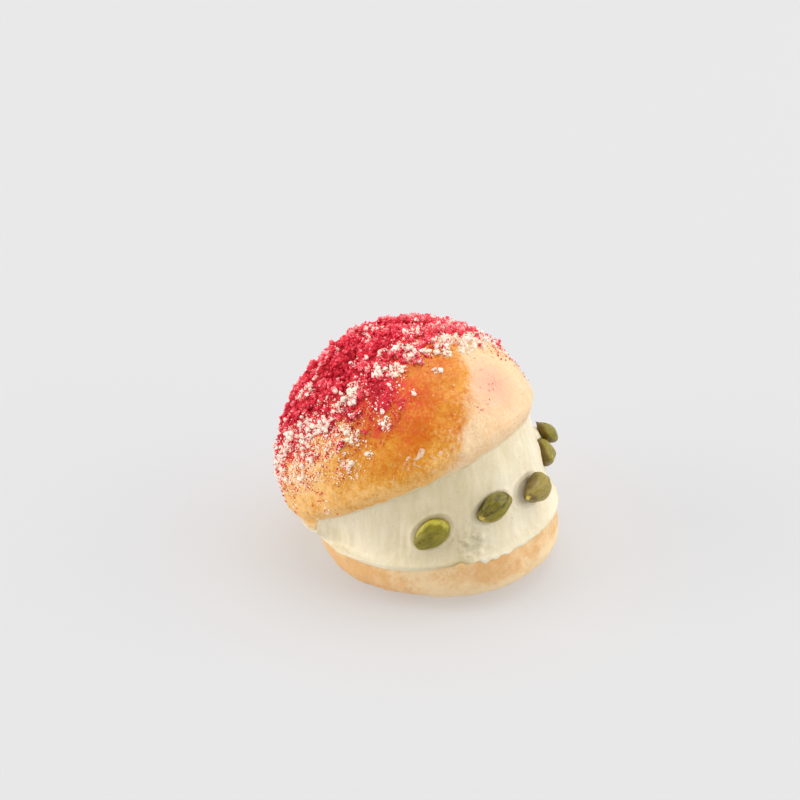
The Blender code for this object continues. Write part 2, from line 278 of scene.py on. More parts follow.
def cut_ring(level):
    """Centre, radius and tilt of a ring between the lower rim (0) and the upper rim (1)."""
    level = np.asarray(level, float)
    hinge = LOWER_RIM_CENTRE - LOWER_RIM_RADIUS * forward(LOWER_TILT)
    tilt = LOWER_TILT + (UPPER_TILT - LOWER_TILT) * level
    radius = LOWER_RIM_RADIUS + (UPPER_RIM_RADIUS - LOWER_RIM_RADIUS) * level
    return hinge + (radius - HINGE_SETBACK * level)[..., None] * forward(tilt), radius, tilt


UPPER_RIM_CENTRE = cut_ring(1)[0]


def near_hinge(around):
    """1 at the back of the bun, fading to nothing towards the sides."""
    return ((1 - np.cos(around)) / 2) ** HINGE_SPREAD


def folded(around):
    """0 along the open cut, rising to 1 where the crust hangs over its end."""
    from_front = np.abs((around + math.pi) % math.tau - math.pi)
    return smooth_step(from_front, FOLD_FROM, FOLD_TO)


def unevenness(around, phase):
    twofold = UNEVEN_TWOFOLD * np.sin(2 * around + 0.8 + phase)
    return twofold + UNEVEN_THREEFOLD * np.sin(3 * around - 1.1 + 2 * phase)


def ring_point(centre, radius, tilt, around, phase):
    reach = radius + unevenness(around, phase)
    ahead = (reach * np.cos(around))[..., None] * forward(tilt)
    return centre + ahead + (reach * np.sin(around))[..., None] * LEFT


def base_point(along, around):
    """Bottom half: along runs from the edge of the foot (0) to the cut (1)."""
    height = LOWER_RIM_HEIGHT * along**1.6
    rise = np.minimum(1, height / BASE_WIDEST)
    radius = FOOT_RADIUS + (BASE_RADIUS - FOOT_RADIUS) * (rise * (2 - rise)) ** BASE_FULLNESS
    radius = radius + (LOWER_RIM_RADIUS - BASE_RADIUS) * along
    tilt = LOWER_TILT * height / LOWER_RIM_HEIGHT
    lean = BASE_LEAN * np.sin(math.pi * along)
    centre = np.stack((0 * height, -lean, height), -1)
    return ring_point(centre, radius, tilt, around, 0)


def cut_point(level, around):
    """Side of the filled cut: level runs from the lower rim (0) to the upper rim (1)."""
    centre, radius, tilt = cut_ring(level)
    fold = folded(around)
    waist = CREAM_WAIST * np.sin(math.pi * level**CREAM_WAIST_LOW)
    radius = radius + FOLD_SWELL * fold * smooth_step(level, 0, FOLD_FULL_LEVEL) - waist * (1 - fold)
    lift = (HINGE_LIFT * near_hinge(around) * level)[..., None] * UP_AXIS
    return ring_point(centre, radius, tilt, around, level) + lift


def crumb_reach(around):
    """How far down from the top the crumbs lie, in degrees."""
    off = (np.degrees(around) - CRUMB_DIP_AROUND + 180) % 360 - 180
    return CRUMB_REACH - CRUMB_FRONT_DIP * bump(off, 0, CRUMB_DIP_WIDTH)


def dome_point(height, radius, around):
    """Top half, at a height and radius measured from the plane and axis of its cut."""
    share = height / DOME_HEIGHT
    from_top = np.degrees(np.arctan2(radius, np.maximum(0, height - DOME_WIDEST)))
    edge = (crumb_reach(around) - from_top) / CRUMB_BED_EDGE
    bed = CRUMB_BED * smooth_step(edge, -0.5, 0.5)
    fading = near_hinge(around) * np.maximum(0, 1 - HINGE_FADE * share) ** 2
    fold = FOLD_SWELL * folded(around) * np.maximum(0, 1 - height / DOME_WIDEST) ** 2
    flat = DOME_BACK_FLAT * np.sin(math.pi * np.minimum(1, share)) * (1 - np.cos(around)) / 2
    height = height + bed * np.cos(np.radians(from_top))
    radius = radius + fold - flat + bed * np.sin(np.radians(from_top))
    centre = UPPER_RIM_CENTRE + height[..., None] * upward(UPPER_TILT)
    lift = (HINGE_LIFT * fading)[..., None] * UP_AXIS
    return ring_point(centre, radius, UPPER_TILT, around, 1 + share) + lift


def flare_profile(share):
    """Height and radius from the cut (0) to the widest ring (1)."""
    return DOME_WIDEST * share, DOME_RADIUS - (DOME_RADIUS - UPPER_RIM_RADIUS) * (1 - share) ** 2


def dome_profile(turn):
    """Height and radius from the widest ring (0) to the top (a quarter turn)."""
    power = 2 / DOME_ROUNDNESS
    height = DOME_WIDEST + (DOME_HEIGHT - DOME_WIDEST) * np.sin(turn) ** power
    return height, DOME_RADIUS * np.cos(turn) ** power


def dome_place(points):
    """Degrees around, height over the cut and degrees inside the crumbs' edge, for points on the dome."""
    offset = points - UPPER_RIM_CENTRE
    height = offset @ upward(UPPER_TILT)
    ahead = offset @ forward(UPPER_TILT)
    left = offset @ LEFT
    around = np.arctan2(left, ahead)
    from_top = np.degrees(np.arctan2(np.hypot(ahead, left), height - DOME_WIDEST))
    return np.degrees(around), height, crumb_reach(around) - from_top


def cut_height(y, centre, tilt):
    """Height of a cut plane at y."""
    return centre[2] + (centre[1] - y) * math.tan(tilt)


def cut_roof(y, inset=0.0):
    """Height of the top of the cut at y: it drops under the fold of crust near the cut's end."""
    centre = UPPER_RIM_CENTRE - inset * upward(UPPER_TILT)
    inner = LOWER_RIM_RADIUS - STRIP_THICKNESS - inset
    places = (-HALF_REACH, FOLD_FRONT, FOLD_BACK, inner)
    heights = [cut_height(place, centre, UPPER_TILT) for place in places]
    heights[2] -= FOLD_DROP
    return np.interp(y, places, heights)


def outside_cut(points):
    """Distance of points from the wedge of the cut; 0 inside it."""
    below = (LOWER_RIM_CENTRE - points) @ upward(LOWER_TILT)
    above = (points[..., 2] - cut_roof(points[..., 1])) * math.cos(UPPER_TILT)
    behind = points[..., 1] - (LOWER_RIM_RADIUS - STRIP_THICKNESS)
    return np.maximum(0, np.maximum(np.maximum(below, above), behind))


# ---------------------------------------------------------------- meshes


def new_object(name, mesh):
    item = bpy.data.objects.new(name, mesh)
    bpy.context.scene.collection.objects.link(item)
    return item


def remove_objects(*items):
    for item in items:
        bpy.data.objects.remove(item, do_unlink=True)


def mesh_points(mesh):
    points = np.empty(len(mesh.vertices) * 3, np.float32)
    mesh.vertices.foreach_get("co", points)
    return points.reshape(-1, 3).astype(float)


def mesh_normals(mesh):
    normals = np.empty(len(mesh.vertices) * 3, np.float32)
    mesh.vertex_normals.foreach_get("vector", normals)
    return normals.reshape(-1, 3).astype(float)


def set_points(mesh, points):
    mesh.vertices.foreach_set("co", points.astype(np.float32).ravel())
    mesh.update()


def put_attribute(mesh, name, values):
    attribute = mesh.attributes.get(name) or mesh.attributes.new(name, "FLOAT", "POINT")
    attribute.data.foreach_set("value", np.asarray(values, np.float32))


def grid_faces(rows, columns, closed):
    """Quads of a grid of points; closed joins the last column to the first."""
    across = columns if closed else columns - 1
    row, column = np.meshgrid(np.arange(rows - 1), np.arange(across), indexing="ij")
    here = (row * columns + column).ravel()
    beside = (row * columns + (column + 1) % columns).ravel()
    return np.stack((here, beside, beside + columns, here + columns), 1)


def mesh_from(name, points, faces):
    mesh = bpy.data.meshes.new(name)
    mesh.from_pydata(points.reshape(-1, 3).tolist(), [], faces)
    return mesh


def ball_mesh(name, segments, rings):
    """A ball of radius 1: rings of quads round Z, and a fan of triangles at each pole."""
    around = np.arange(segments) * math.tau / segments
    down = np.arange(1, rings)[:, None] * math.pi / rings
    x, y = np.sin(down) * np.sin(around), np.sin(down) * np.cos(around)
    z = np.cos(down) + 0 * around
    points = np.concatenate((np.stack((x, y, z), -1).reshape(-1, 3), (UP_AXIS, -UP_AXIS)))
    top, bottom = len(points) - 2, len(points) - 1
    lowest = top - segments
    faces = grid_faces(rings - 1, segments, True).tolist()
    faces += [[(k + 1) % segments, k, top] for k in range(segments)]
    faces += [[lowest + k, lowest + (k + 1) % segments, bottom] for k in range(segments)]
    return mesh_from(name, points, faces)


def recalculate_normals(mesh):
    bm = bmesh.new()
    bm.from_mesh(mesh)
    bmesh.ops.recalc_face_normals(bm, faces=bm.faces)
    bm.to_mesh(mesh)
    bm.free()


def evaluated_mesh(item):
    bpy.context.view_layer.update()
    graph = bpy.context.evaluated_depsgraph_get()
    return bpy.data.meshes.new_from_object(item.evaluated_get(graph))


def relax(points, mesh, weight, rounds):
    """Evens out points by moving each, as far as its weight says, to the middle of its neighbours."""
    edges = np.empty(len(mesh.edges) * 2, np.int32)
    mesh.edges.foreach_get("vertices", edges)
    edges = edges.reshape(-1, 2)
    ends = np.concatenate((edges[:, 0], edges[:, 1]))
    others = np.concatenate((edges[:, 1], edges[:, 0]))
    degree = np.maximum(1, np.bincount(ends, minlength=len(points)))
    for _ in range(rounds):
        middle = np.stack([np.bincount(ends, points[others, k], len(points)) for k in range(3)], 1)
        points = points + weight[:, None] * (middle / degree[:, None] - points)
    return points


def finish_piece(item, material, slot, *nodes, smooth=True):
    """Gives a finished piece its material and its body, and hides the parts that it stands in for."""
    item.data.materials.clear()
    item.data.materials.append(material)
    if smooth:
        item.data.shade_smooth()
    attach(item, "root")
    if nodes:
        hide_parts(*nodes)
    return item


# ---------------------------------------------------------------- node trees


class Wire:
    """One output in a node tree. Arithmetic on it adds Math nodes to the tree."""

    def __init__(self, tree, socket):
        self.tree = tree
        self.socket = socket

    def __add__(self, other):
        return self.tree.maths("ADD", self, other)

    def __sub__(self, other):
        return self.tree.maths("SUBTRACT", self, other)

    def __rsub__(self, other):
        return self.tree.maths("SUBTRACT", other, self)

    def __mul__(self, other):
        return self.tree.maths("MULTIPLY", self, other)

    def __pow__(self, other):
        return self.tree.maths("POWER", self, other)

    __radd__ = __add__
    __rmul__ = __mul__

    def output(self, name):
        return Wire(self.tree, self.socket.node.outputs[name])


class Tree:
    """Builds a node tree: every node but a Math node from an expression comes from add."""

    def __init__(self, node_tree):
        self.nodes = node_tree.nodes
        self.links = node_tree.links

    def add(self, kind, settings, values, output=0):
        node = self.nodes.new(kind)
        for name, setting in settings.items():
            setattr(node, name, setting)
        for name, value in values.items():
            self.put(node.inputs[name], value)
        return Wire(self, node.outputs[output]) if node.outputs else None

    def put(self, socket, value):
        if isinstance(value, Wire):
            self.links.new(value.socket, socket)
        elif isinstance(value, tuple) and len(value) == 3 and socket.type == "RGBA":
            socket.default_value = (*value, 1)
        else:
            socket.default_value = value

    def maths(self, operation, *values):
        return self.add("ShaderNodeMath", {"operation": operation}, dict(enumerate(values)))

    def limit(self, value):
        """Keeps a value between 0 and 1."""
        settings = {"operation": "ADD", "use_clamp": True}
        return self.add("ShaderNodeMath", settings, {0: value, 1: 0.0})

    def rise(self, value, low, high):
        """0 below low and 1 above high, with a smooth rise between them."""
        values = {"Value": value, "From Min": low, "From Max": high}
        return self.add("ShaderNodeMapRange", {"interpolation_type": "SMOOTHSTEP"}, values)

    def mix(self, factor, first, second, blend="MIX"):
        settings = {"data_type": "RGBA", "blend_type": blend, "clamp_factor": True}
        return self.add("ShaderNodeMix", settings, {0: factor, 6: first, 7: second}, 2)

    def place(self):
        return self.add("ShaderNodeTexCoord", {}, {}).output("Object")

    def stretched(self, place, scale):
        return self.add("ShaderNodeMapping", {}, {"Vector": place, "Scale": scale})

    def attribute(self, name):
        settings = {"attribute_type": "GEOMETRY", "attribute_name": name}
        return self.add("ShaderNodeAttribute", settings, {}).output("Fac")

    def noise(self, place, size, detail=2.0, roughness=0.5, distortion=0.0):
        """Noise from 0 to 1 with lumps about size across."""
        values = {"Vector": place, "Scale": 0.5 / size, "Detail": detail}
        values |= {"Roughness": roughness, "Distortion": distortion}
        return self.add("ShaderNodeTexNoise", {}, values)

    def grain(self, place, size, detail=3.0, roughness=0.75):
        """Noise around 0, mostly from -0.5 to 0.5."""
        return (self.noise(place, size, detail, roughness) - 0.5) * 3.0

    def relief(self, height, depth, strength=1.0):
        values = {"Height": height, "Distance": depth, "Strength": strength}
        return self.add("ShaderNodeBump", {}, values)


def new_finish(name):
    """A fresh material, and the tree and shader to build it with."""
    material = bpy.data.materials.new(name)
    material.use_nodes = True
    shader = material.node_tree.nodes["Principled BSDF"]
    return material, Tree(material.node_tree), shader


def set_shader(tree, shader, values):
    for name, value in values.items():
        tree.put(shader.inputs[name], value)


# ---------------------------------------------------------------- finishes


def crust_finish(look):
    """Baked crust: tan near the cut, amber where the glaze browned, and peach on the side that browned less,
    where the paleness also stands in part for a painted reflection of the key light on the glaze.
    """
    material, tree, shader = new_finish("glazed crust")
    place = tree.place()
    browning = tree.attribute("browning")
    inside = tree.attribute("inside")
    mottle = tree.noise(place, 0.0024, 4.0, 0.65)
    fine = tree.grain(place, 0.0005)
    coarse = tree.grain(place, 0.0011)
    cloud = tree.grain(place, 0.0055, 3.0, 0.6)
    baked = browning * 0.85 + fine * 0.45 + coarse * 0.40 + cloud * 0.30
    colour = tree.mix(tree.rise(baked, -0.1, 0.5), tuple(look.tan), tuple(look.golden))
    colour = tree.mix(tree.rise(baked, 0.30, 1.15), colour, tuple(look.amber))
    scorch = tree.rise(coarse + fine * 0.6 + cloud * 0.5, 0.35, 0.95) * tree.rise(browning, 0.3, 0.9)
    colour = tree.mix(scorch * 0.75, colour, tuple(look.scorch))
    colour, flecks = pale_side(tree, look, place, colour, fine)
    brown = tree.rise(mottle * 0.8 + fine * 0.14 + coarse * 0.06 + tree.attribute("rim") * 0.42, 0.36, 0.90)
    bottom = tree.mix(brown, tuple(look.base), tuple(look.base_brown))
    colour = tree.mix(base_share(tree, mottle), colour, bottom)
    colour = powdered(tree, look, place, colour)
    colour = tree.mix(inside, colour, tuple(look.bread))
    skin = tree.noise(place, 0.0016, 3.0, 0.55)
    dull = tree.rise(browning, 0.7, 0.1) * 0.22 + tree.rise(tree.attribute("powder"), 0.1, 0.6) * 0.35
    set_shader(tree, shader, {
        "Base Color": colour,
        "Roughness": dull + 0.27 + inside * 0.4,
        "Specular IOR Level": 0.28,
        "Normal": tree.relief(skin * 0.5 + fine * 0.16 + coarse * 0.2 + flecks * 0.4, 0.00035),
        "Subsurface Weight": 0.08,
        "Subsurface Radius": (1.0, 0.45, 0.2),
        "Subsurface Scale": 0.0015,
    })
    return material


def pale_side(tree, look, place, colour, fine):
    """Lays the pale side of the crust over a colour, with a flecked edge and a blush: crust that browned
    less, made paler still as a painted reflection of the key light on the glaze.
    """
    pale = tree.attribute("pale")
    blush = tree.attribute("blush")
    streaky = tree.grain(tree.stretched(place, (1.0, 1.0, 0.45)), 0.00062)
    cloud = tree.grain(place, 0.004, 3.0, 0.6)
    edge = tree.rise(pale + streaky * 0.75 * (1 - pale) + cloud * 0.25 * (1 - pale), 0.15, 0.85)
    peach = tree.mix(tree.limit(cloud * 0.7 + fine * 1.5 + 0.45), tuple(look.peach), tuple(look.pale))
    peach = tree.mix(tree.limit(tree.attribute("golden") + fine * 0.3) * 0.8, peach, tuple(look.straw))
    peach = tree.mix(tree.limit(blush * 1.2 + fine * 0.6 + streaky * 0.2) * 0.8, peach, tuple(look.blush))
    colour = tree.mix(edge, colour, peach)
    near_edge = tree.rise(pale, 0.10, 0.5) * (1 - tree.rise(pale, 0.85, 1.0) * 0.75)
    flecks = tree.rise(streaky, 0.22, 0.50) * near_edge
    return tree.mix(flecks * 0.65, colour, tuple(look.fleck)), flecks


def base_share(tree, mottle):
    """How much of the bottom half's own paler colour shows."""
    return tree.rise(tree.attribute("bottom") + (mottle - 0.5) * 0.25, 0.25, 0.75)


def powdered(tree, look, place, colour):
    """Rubs fruit powder into a colour: a red stain, an orange trace and loose dark specks."""
    powder = tree.attribute("powder")
    grain = tree.grain(place, 0.00042, 4.0, 0.8)
    cloud = tree.grain(place, 0.0020, 3.0, 0.6)
    stain = powder + grain * 1.1 * tree.rise(powder, 0.02, 0.35) + cloud * 0.4 * powder
    colour = tree.mix(tree.rise(stain, 0.10, 0.80), colour, tuple(look.orange_stain))
    red = tree.mix(tree.rise(grain + cloud * 0.5, -0.25, 0.45), tuple(look.red_stain), tuple(look.dry_stain))
    colour = tree.mix(tree.rise(stain, 0.45, 1.05), colour, red)
    speck = tree.grain(place, 0.00045, 2.0, 0.6)
    loose = tree.rise(speck, 0.50, 0.60) * tree.rise(tree.attribute("specks") + cloud * 0.33, 0.3, 0.6)
    return tree.mix(loose * 0.8, colour, tuple(look.red_stain))


def red_crumb_finish(look, name, dryness):
    """Crumb dusted with fruit powder: pinker where the powder is dry, pinker still on the crumbs that stand
    highest as a painted highlight, and crimson in the hollows as painted shade.
    """
    material, tree, shader = new_finish(name)
    place = tree.place()
    tint = tree.attribute("tint")
    fine = tree.grain(place, 0.00050)
    patch = tree.grain(place, 0.0022, 2.0, 0.6)
    # Painted light: crumbs that stand higher off the dome turn pink as a painted highlight, and those lower
    # in the hollows turn crimson as painted shade.
    high = tree.rise(tree.attribute("peak"), -0.4, 2.6) - 0.5
    dry = fine * 1.15 + patch * 0.35 + tint * 0.45 + high * 1.3 + dryness
    colour = tree.mix(tree.rise(dry, -0.70, 0.15), tuple(look.deep_red), tuple(look.raspberry))
    colour = tree.mix(tree.rise(dry, 0.30, 1.30), colour, tuple(look.dusty_pink))
    bare = tree.rise(fine * 0.5 + tint * 0.4 - tree.attribute("margin") * 0.010, 0.25, 0.60)
    colour = tree.mix(bare, colour, tuple(look.crumb_white))
    set_shader(tree, shader, {
        "Base Color": colour,
        "Roughness": 0.65,
        "Specular IOR Level": 0.3,
        "Normal": tree.relief(fine, 0.00015),
        "Subsurface Weight": 0.25,
        "Subsurface Radius": (1.0, 0.25, 0.28),
        "Subsurface Scale": 0.0010,
    })
    return material


def white_crumb_finish(look):
    """Pale sugary crumb with red powder caught in places, made to glow a little in its own colour as painted
    light.
    """
    material, tree, shader = new_finish("white crumb")
    place = tree.place()
    tint = tree.attribute("tint")
    fine = tree.grain(place, 0.00045)
    patch = tree.grain(place, 0.0016, 2.0, 0.6)
    yellower = tree.limit(patch * 0.8 + tint * 0.3 + 0.2)
    colour = tree.mix(yellower, tuple(look.crumb_white), tuple(look.crumb_cream))
    dusted = fine * 0.55 + patch * 0.35 + tint * 0.25 + tree.attribute("margin") * 0.008
    colour = tree.mix(tree.rise(dusted, 0.20, 0.85) * 0.75, colour, tuple(look.dusty_pink))
    colour = tree.mix(tree.rise(dusted, 0.80, 1.05), colour, tuple(look.raspberry))
    set_shader(tree, shader, {
        "Base Color": colour,
        "Roughness": 0.65,
        "Normal": tree.relief(fine, 0.00012),
        "Sheen Weight": 0.3,
        "Subsurface Weight": 0.4,
        "Subsurface Radius": (1.0, 0.9, 0.8),
        "Subsurface Scale": 0.0012,
        # Painted light: the crumb glows faintly in its own colour, so that it stays bright in its own shade.
        "Emission Color": colour,
        "Emission Strength": 0.10,
    })
    return material


def cream_finish(look):
    """Piped and smoothed cream: fine upright streaks, small dark specks of ground nut, painted shade across
    its middle, a painted highlight on the torn lip and a painted shadow in the gap under the lip.
    """
    material, tree, shader = new_finish("pistachio cream")
    place = tree.place()
    streaked = tree.stretched(place, (1.0, 1.0, 0.10))
    streak = tree.grain(streaked, 0.0010, 3.0, 0.6)
    cloud = tree.grain(place, 0.006, 3.0, 0.5)
    pit = tree.grain(place, 0.0005, 3.0, 0.6)
    # Deep mixes darker clouds of the cream with the painted shade from the shade attribute, which darkens
    # the cream's middle and lightens the torn lip as a painted highlight.
    deep = tree.limit(cloud * 0.5 + streak * 0.45 + pit * 0.2 + tree.attribute("shade") + 0.1)
    colour = tree.mix(deep, tuple(look.cream_light), tuple(look.cream_deep))
    smear = tree.rise(tree.attribute("smear") + pit * 0.5 + streak * 0.2, 0.45, 1.1)
    colour = tree.mix(smear * 0.42, colour, tuple(look.smear))
    # Painted shadow: the gap under the cream's lip is darkened in colour.
    colour = tree.mix(tree.attribute("gap"), colour, tuple(look.gap))
    crumbly = tree.rise(tree.attribute("brim") + pit * 0.6, 0.35, 1.1)
    colour = tree.mix(crumbly * 0.7, colour, tuple(look.brim))
    speck = tree.noise(place, 0.00030, 1.0, 0.5)
    colour = tree.mix(tree.rise(speck, 0.745, 0.80) * 0.7, colour, tuple(look.speck))
    set_shader(tree, shader, {
        "Base Color": colour,
        "Roughness": streak * 0.06 + 0.42,
        "Normal": tree.relief(streak * 0.35 + pit * 0.2, 0.00012),
        "Subsurface Weight": 0.3,
        "Subsurface Radius": (1.0, 0.92, 0.75),
        "Subsurface Scale": 0.0012,
    })
    return material


def kernel_finish(look):
    """Peeled kernel: olive, with a lighter edge that is in part a painted highlight, painted shade in the
    groove, a yellow scar at the tip, and a browned side that is in part painted shade where it meets the
    cream.
    """
    material, tree, shader = new_finish("pistachio kernel")
    along = tree.attribute("along") * 0.35
    sides = {"X": tree.attribute("across"), "Y": tree.attribute("through"), "Z": along}
    place = tree.add("ShaderNodeCombineXYZ", {}, sides)
    patch = tree.grain(tree.place(), 0.0020, 3.0, 0.6)
    wrinkle = tree.grain(place, 0.00055, 3.0, 0.65)
    # The light attribute holds painted light: a painted highlight along the lit edge and painted shade in
    # the groove.
    light = tree.attribute("light") + patch * 0.18 + wrinkle * 0.36
    colour = tree.mix(tree.rise(light, -0.15, 0.50), tuple(look.kernel_dark), tuple(look.kernel_green))
    colour = tree.mix(tree.rise(light, 0.45, 1.05), colour, tuple(look.kernel_bright))
    khaki = tree.attribute("khaki") + patch * 0.35 + wrinkle * 0.35
    colour = tree.mix(tree.rise(khaki, 0.15, 1.1), colour, tuple(look.kernel_khaki))
    # Brown is partly browned skin and partly painted shade where the kernel meets the cream.
    brown = tree.rise(tree.attribute("brown") + patch * 0.35 + wrinkle * 0.2, 0.35, 0.95)
    colour = tree.mix(brown * 0.8, colour, tuple(look.kernel_brown))
    yellow = tree.rise(tree.attribute("yellow") + wrinkle * 0.6 + patch * 0.3, 0.30, 1.15)
    colour = tree.mix(yellow * 0.9, colour, tuple(look.kernel_yellow))
    set_shader(tree, shader, {
        "Base Color": colour,
        "Roughness": wrinkle * 0.10 + 0.30,
        "Specular IOR Level": 0.42,
        "Normal": tree.relief(wrinkle * 0.35 + patch * 0.2, 0.00045),
        "Subsurface Weight": 0.1,
        "Subsurface Radius": (0.6, 1.0, 0.2),
        "Subsurface Scale": 0.0015,
    })
    return material


def glaze_finish(look):
    """Dried glaze: thin, pale and a little glossy, worn away in places."""
    material, tree, shader = new_finish("dried glaze")
    place = tree.place()
    fine = tree.grain(place, 0.0005)
    colour = tree.mix(tree.rise(fine, -0.3, 0.5), tuple(look.glaze), tuple(look.fleck))
    set_shader(tree, shader, {
        "Base Color": colour,
        "Roughness": fine * 0.1 + 0.32,
        "Alpha": tree.rise(fine, -0.6, 0.1) * 0.5 + 0.2,
        "Normal": tree.relief(fine, 0.0001),
    })
    return material


def floor_finish(look):
    """Matt white table, lit a little from within so that shadows on it stay light, and glowing warmer near
    the bun as painted light bounced off the bun.
    """
    material, tree, shader = new_finish("studio floor")
    far = tree.add("ShaderNodeVectorMath", {"operation": "LENGTH"}, {0: tree.place()}).output("Value")
    # Painted bounce light: the floor's glow is warmer near the bun.
    glow = tree.mix(tree.rise(far, 0.035, 0.11), tuple(look.floor_near), (0.93, 0.93, 0.935))
    set_shader(tree, shader, {
        "Base Color": tuple(look.floor),
        "Roughness": 0.8,
        "Specular IOR Level": 0.2,
        "Emission Color": glow,
        "Emission Strength": look.floor_glow,
    })
    return material


# ---------------------------------------------------------------- bun


def fine_skin():
    """Closed loft of the whole bun with its cut filled in, as points in rings and the top point."""
    around = np.arange(SKIN_SEGMENTS)[None, :] * math.tau / SKIN_SEGMENTS
    along = np.linspace(0, 1, round(BASE_RUN / SKIN_STEP))[:, None]
    level = np.linspace(0, 1, round(CUT_RUN / SKIN_STEP))[1:, None]
    flare = np.linspace(0, 1, round(FLARE_RUN / SKIN_STEP))[1:, None]
    turn = np.linspace(0, math.pi / 2, round(DOME_RUN / SKIN_STEP))[1:-1, None]
    height, radius = flare_profile(flare)
    flare_rings = dome_point(height, radius, around)
    height, radius = dome_profile(turn)
    dome_rings = dome_point(height, radius, around)
    rings = np.concatenate((base_point(along, around), cut_point(level, around), flare_rings, dome_rings))
    top = UPPER_RIM_CENTRE + (DOME_HEIGHT + CRUMB_BED) * upward(UPPER_TILT)
    return rings, top


def skin_mesh(name):
    rings, top = fine_skin()
    count, segments = rings.shape[:2]
    last = count * segments
    faces = grid_faces(count, segments, True).tolist()
    faces.append(list(range(segments))[::-1])
    start = last - segments
    faces += [[start + i, start + (i + 1) % segments, last] for i in range(segments)]
    mesh = mesh_from(name, np.concatenate((rings.reshape(-1, 3), top[None])), faces)
    recalculate_normals(mesh)
    return mesh


def cut_outline(inset, steps=12):
    """Side view of the cut: it narrows under the fold of crust and has a rounded inner end."""
    lower = LOWER_RIM_CENTRE + inset * upward(LOWER_TILT)
    upper = UPPER_RIM_CENTRE - inset * upward(UPPER_TILT)
    inner = LOWER_RIM_RADIUS - STRIP_THICKNESS - inset
    low = cut_height(inner, lower, LOWER_TILT)
    high = cut_height(inner, upper, UPPER_TILT)
    bulge, middle = (high - low) / 2, (high + low) / 2
    outline = [(-HALF_REACH, cut_height(-HALF_REACH, lower, LOWER_TILT)), (inner, low)]
    for k in range(1, steps):
        turn = math.pi * (k / steps - 0.5)
        outline.append((inner + bulge * math.cos(turn), middle + bulge * math.sin(turn)))
    ends = [(y, float(cut_roof(y, inset))) for y in (FOLD_BACK, FOLD_FRONT, -HALF_REACH)]
    return outline + [(inner, high)] + ends


def cut_wedge(name, inset):
    bm = bmesh.new()
    corners = [bm.verts.new((-HALF_REACH, y, z)) for y, z in cut_outline(inset)]
    side = bm.faces.new(corners)
    grown = bmesh.ops.extrude_face_region(bm, geom=[side])["geom"]
    moved = [part for part in grown if isinstance(part, bmesh.types.BMVert)]
    bmesh.ops.translate(bm, verts=moved, vec=(2 * HALF_REACH, 0, 0))
    bmesh.ops.recalc_face_normals(bm, faces=bm.faces)
    mesh = bpy.data.meshes.new(name)
    bm.to_mesh(mesh)
    bm.free()
    return new_object(name, mesh)


def remeshed(item, cutter, voxel):
    """The item without the cutter, as an even mesh."""
    cut = item.modifiers.new("cut", "BOOLEAN")
    cut.operation = "DIFFERENCE"
    cut.solver = "MANIFOLD"
    cut.object = cutter
    even = item.modifiers.new("even", "REMESH")
    even.mode = "VOXEL"
    even.voxel_size = voxel
    mesh = evaluated_mesh(item)
    item.modifiers.clear()
    return mesh


def surface_of(mesh):
    """A mesh's surface, to be searched for nearest places."""
    corners = [vertex.co for vertex in mesh.vertices]
    return BVHTree.FromPolygons(corners, [tuple(face.vertices) for face in mesh.polygons])


def nearest_on(surface, points):
    """Nearest places on a surface, its directions there, and how far below it each point lies."""
    found = [surface.find_nearest(Vector(point)) for point in points.reshape(-1, 3)]
    places = np.array([hit[0] for hit in found]).reshape(points.shape)
    normals = np.array([hit[1] for hit in found]).reshape(points.shape)
    return places, normals, ((places - points) * normals).sum(-1)


def on_surface(surface, points, lift):
    """Points moved to the nearest place on a surface, and off it by lift."""
    places, normals, _ = nearest_on(surface, points)
    return places + np.asarray(lift)[..., None] * normals


def add_unevenness(points, normals, margin, inside):
    """Hand-shaped crust: broad swells, dimples, hollows and a lumpy bed under the crumbs."""
    bed = smooth_step(margin, -3, 8)
    thick = smooth_step(margin, 14, 42)
    swell = 0.00030 * waves(points, 0.016, 11) + 0.00010 * waves(points, 0.005, 12)
    dimples = 0.00004 * waves(points, 0.0016, 13)
    lumps = 0.00090 * waves(points, 0.0042, 14) + 0.00042 * waves(points, 0.0018, 15)
    lumps = (0.25 + 0.75 * thick) * np.minimum(lumps, 0.0011) - 0.0006 * (1 - thick)
    lumps = lumps - (0.0014 - 0.0011 * heaped(points)) * thick
    hollow = sum(depth * spot(points, *place) for place, depth in HOLLOWS)
    lift = (swell * (1 - 0.5 * bed) + dimples - hollow + bed * lumps) * (1 - inside)
    return points + lift[:, None] * normals


def heaped(points):
    """1 where the crumbs are heaped."""
    away = points - UPPER_RIM_CENTRE - DOME_WIDEST * upward(UPPER_TILT)
    away /= np.maximum(1e-6, np.linalg.norm(away, axis=1, keepdims=True))
    return smooth_step(away @ HEAP, 0.92, 0.99)


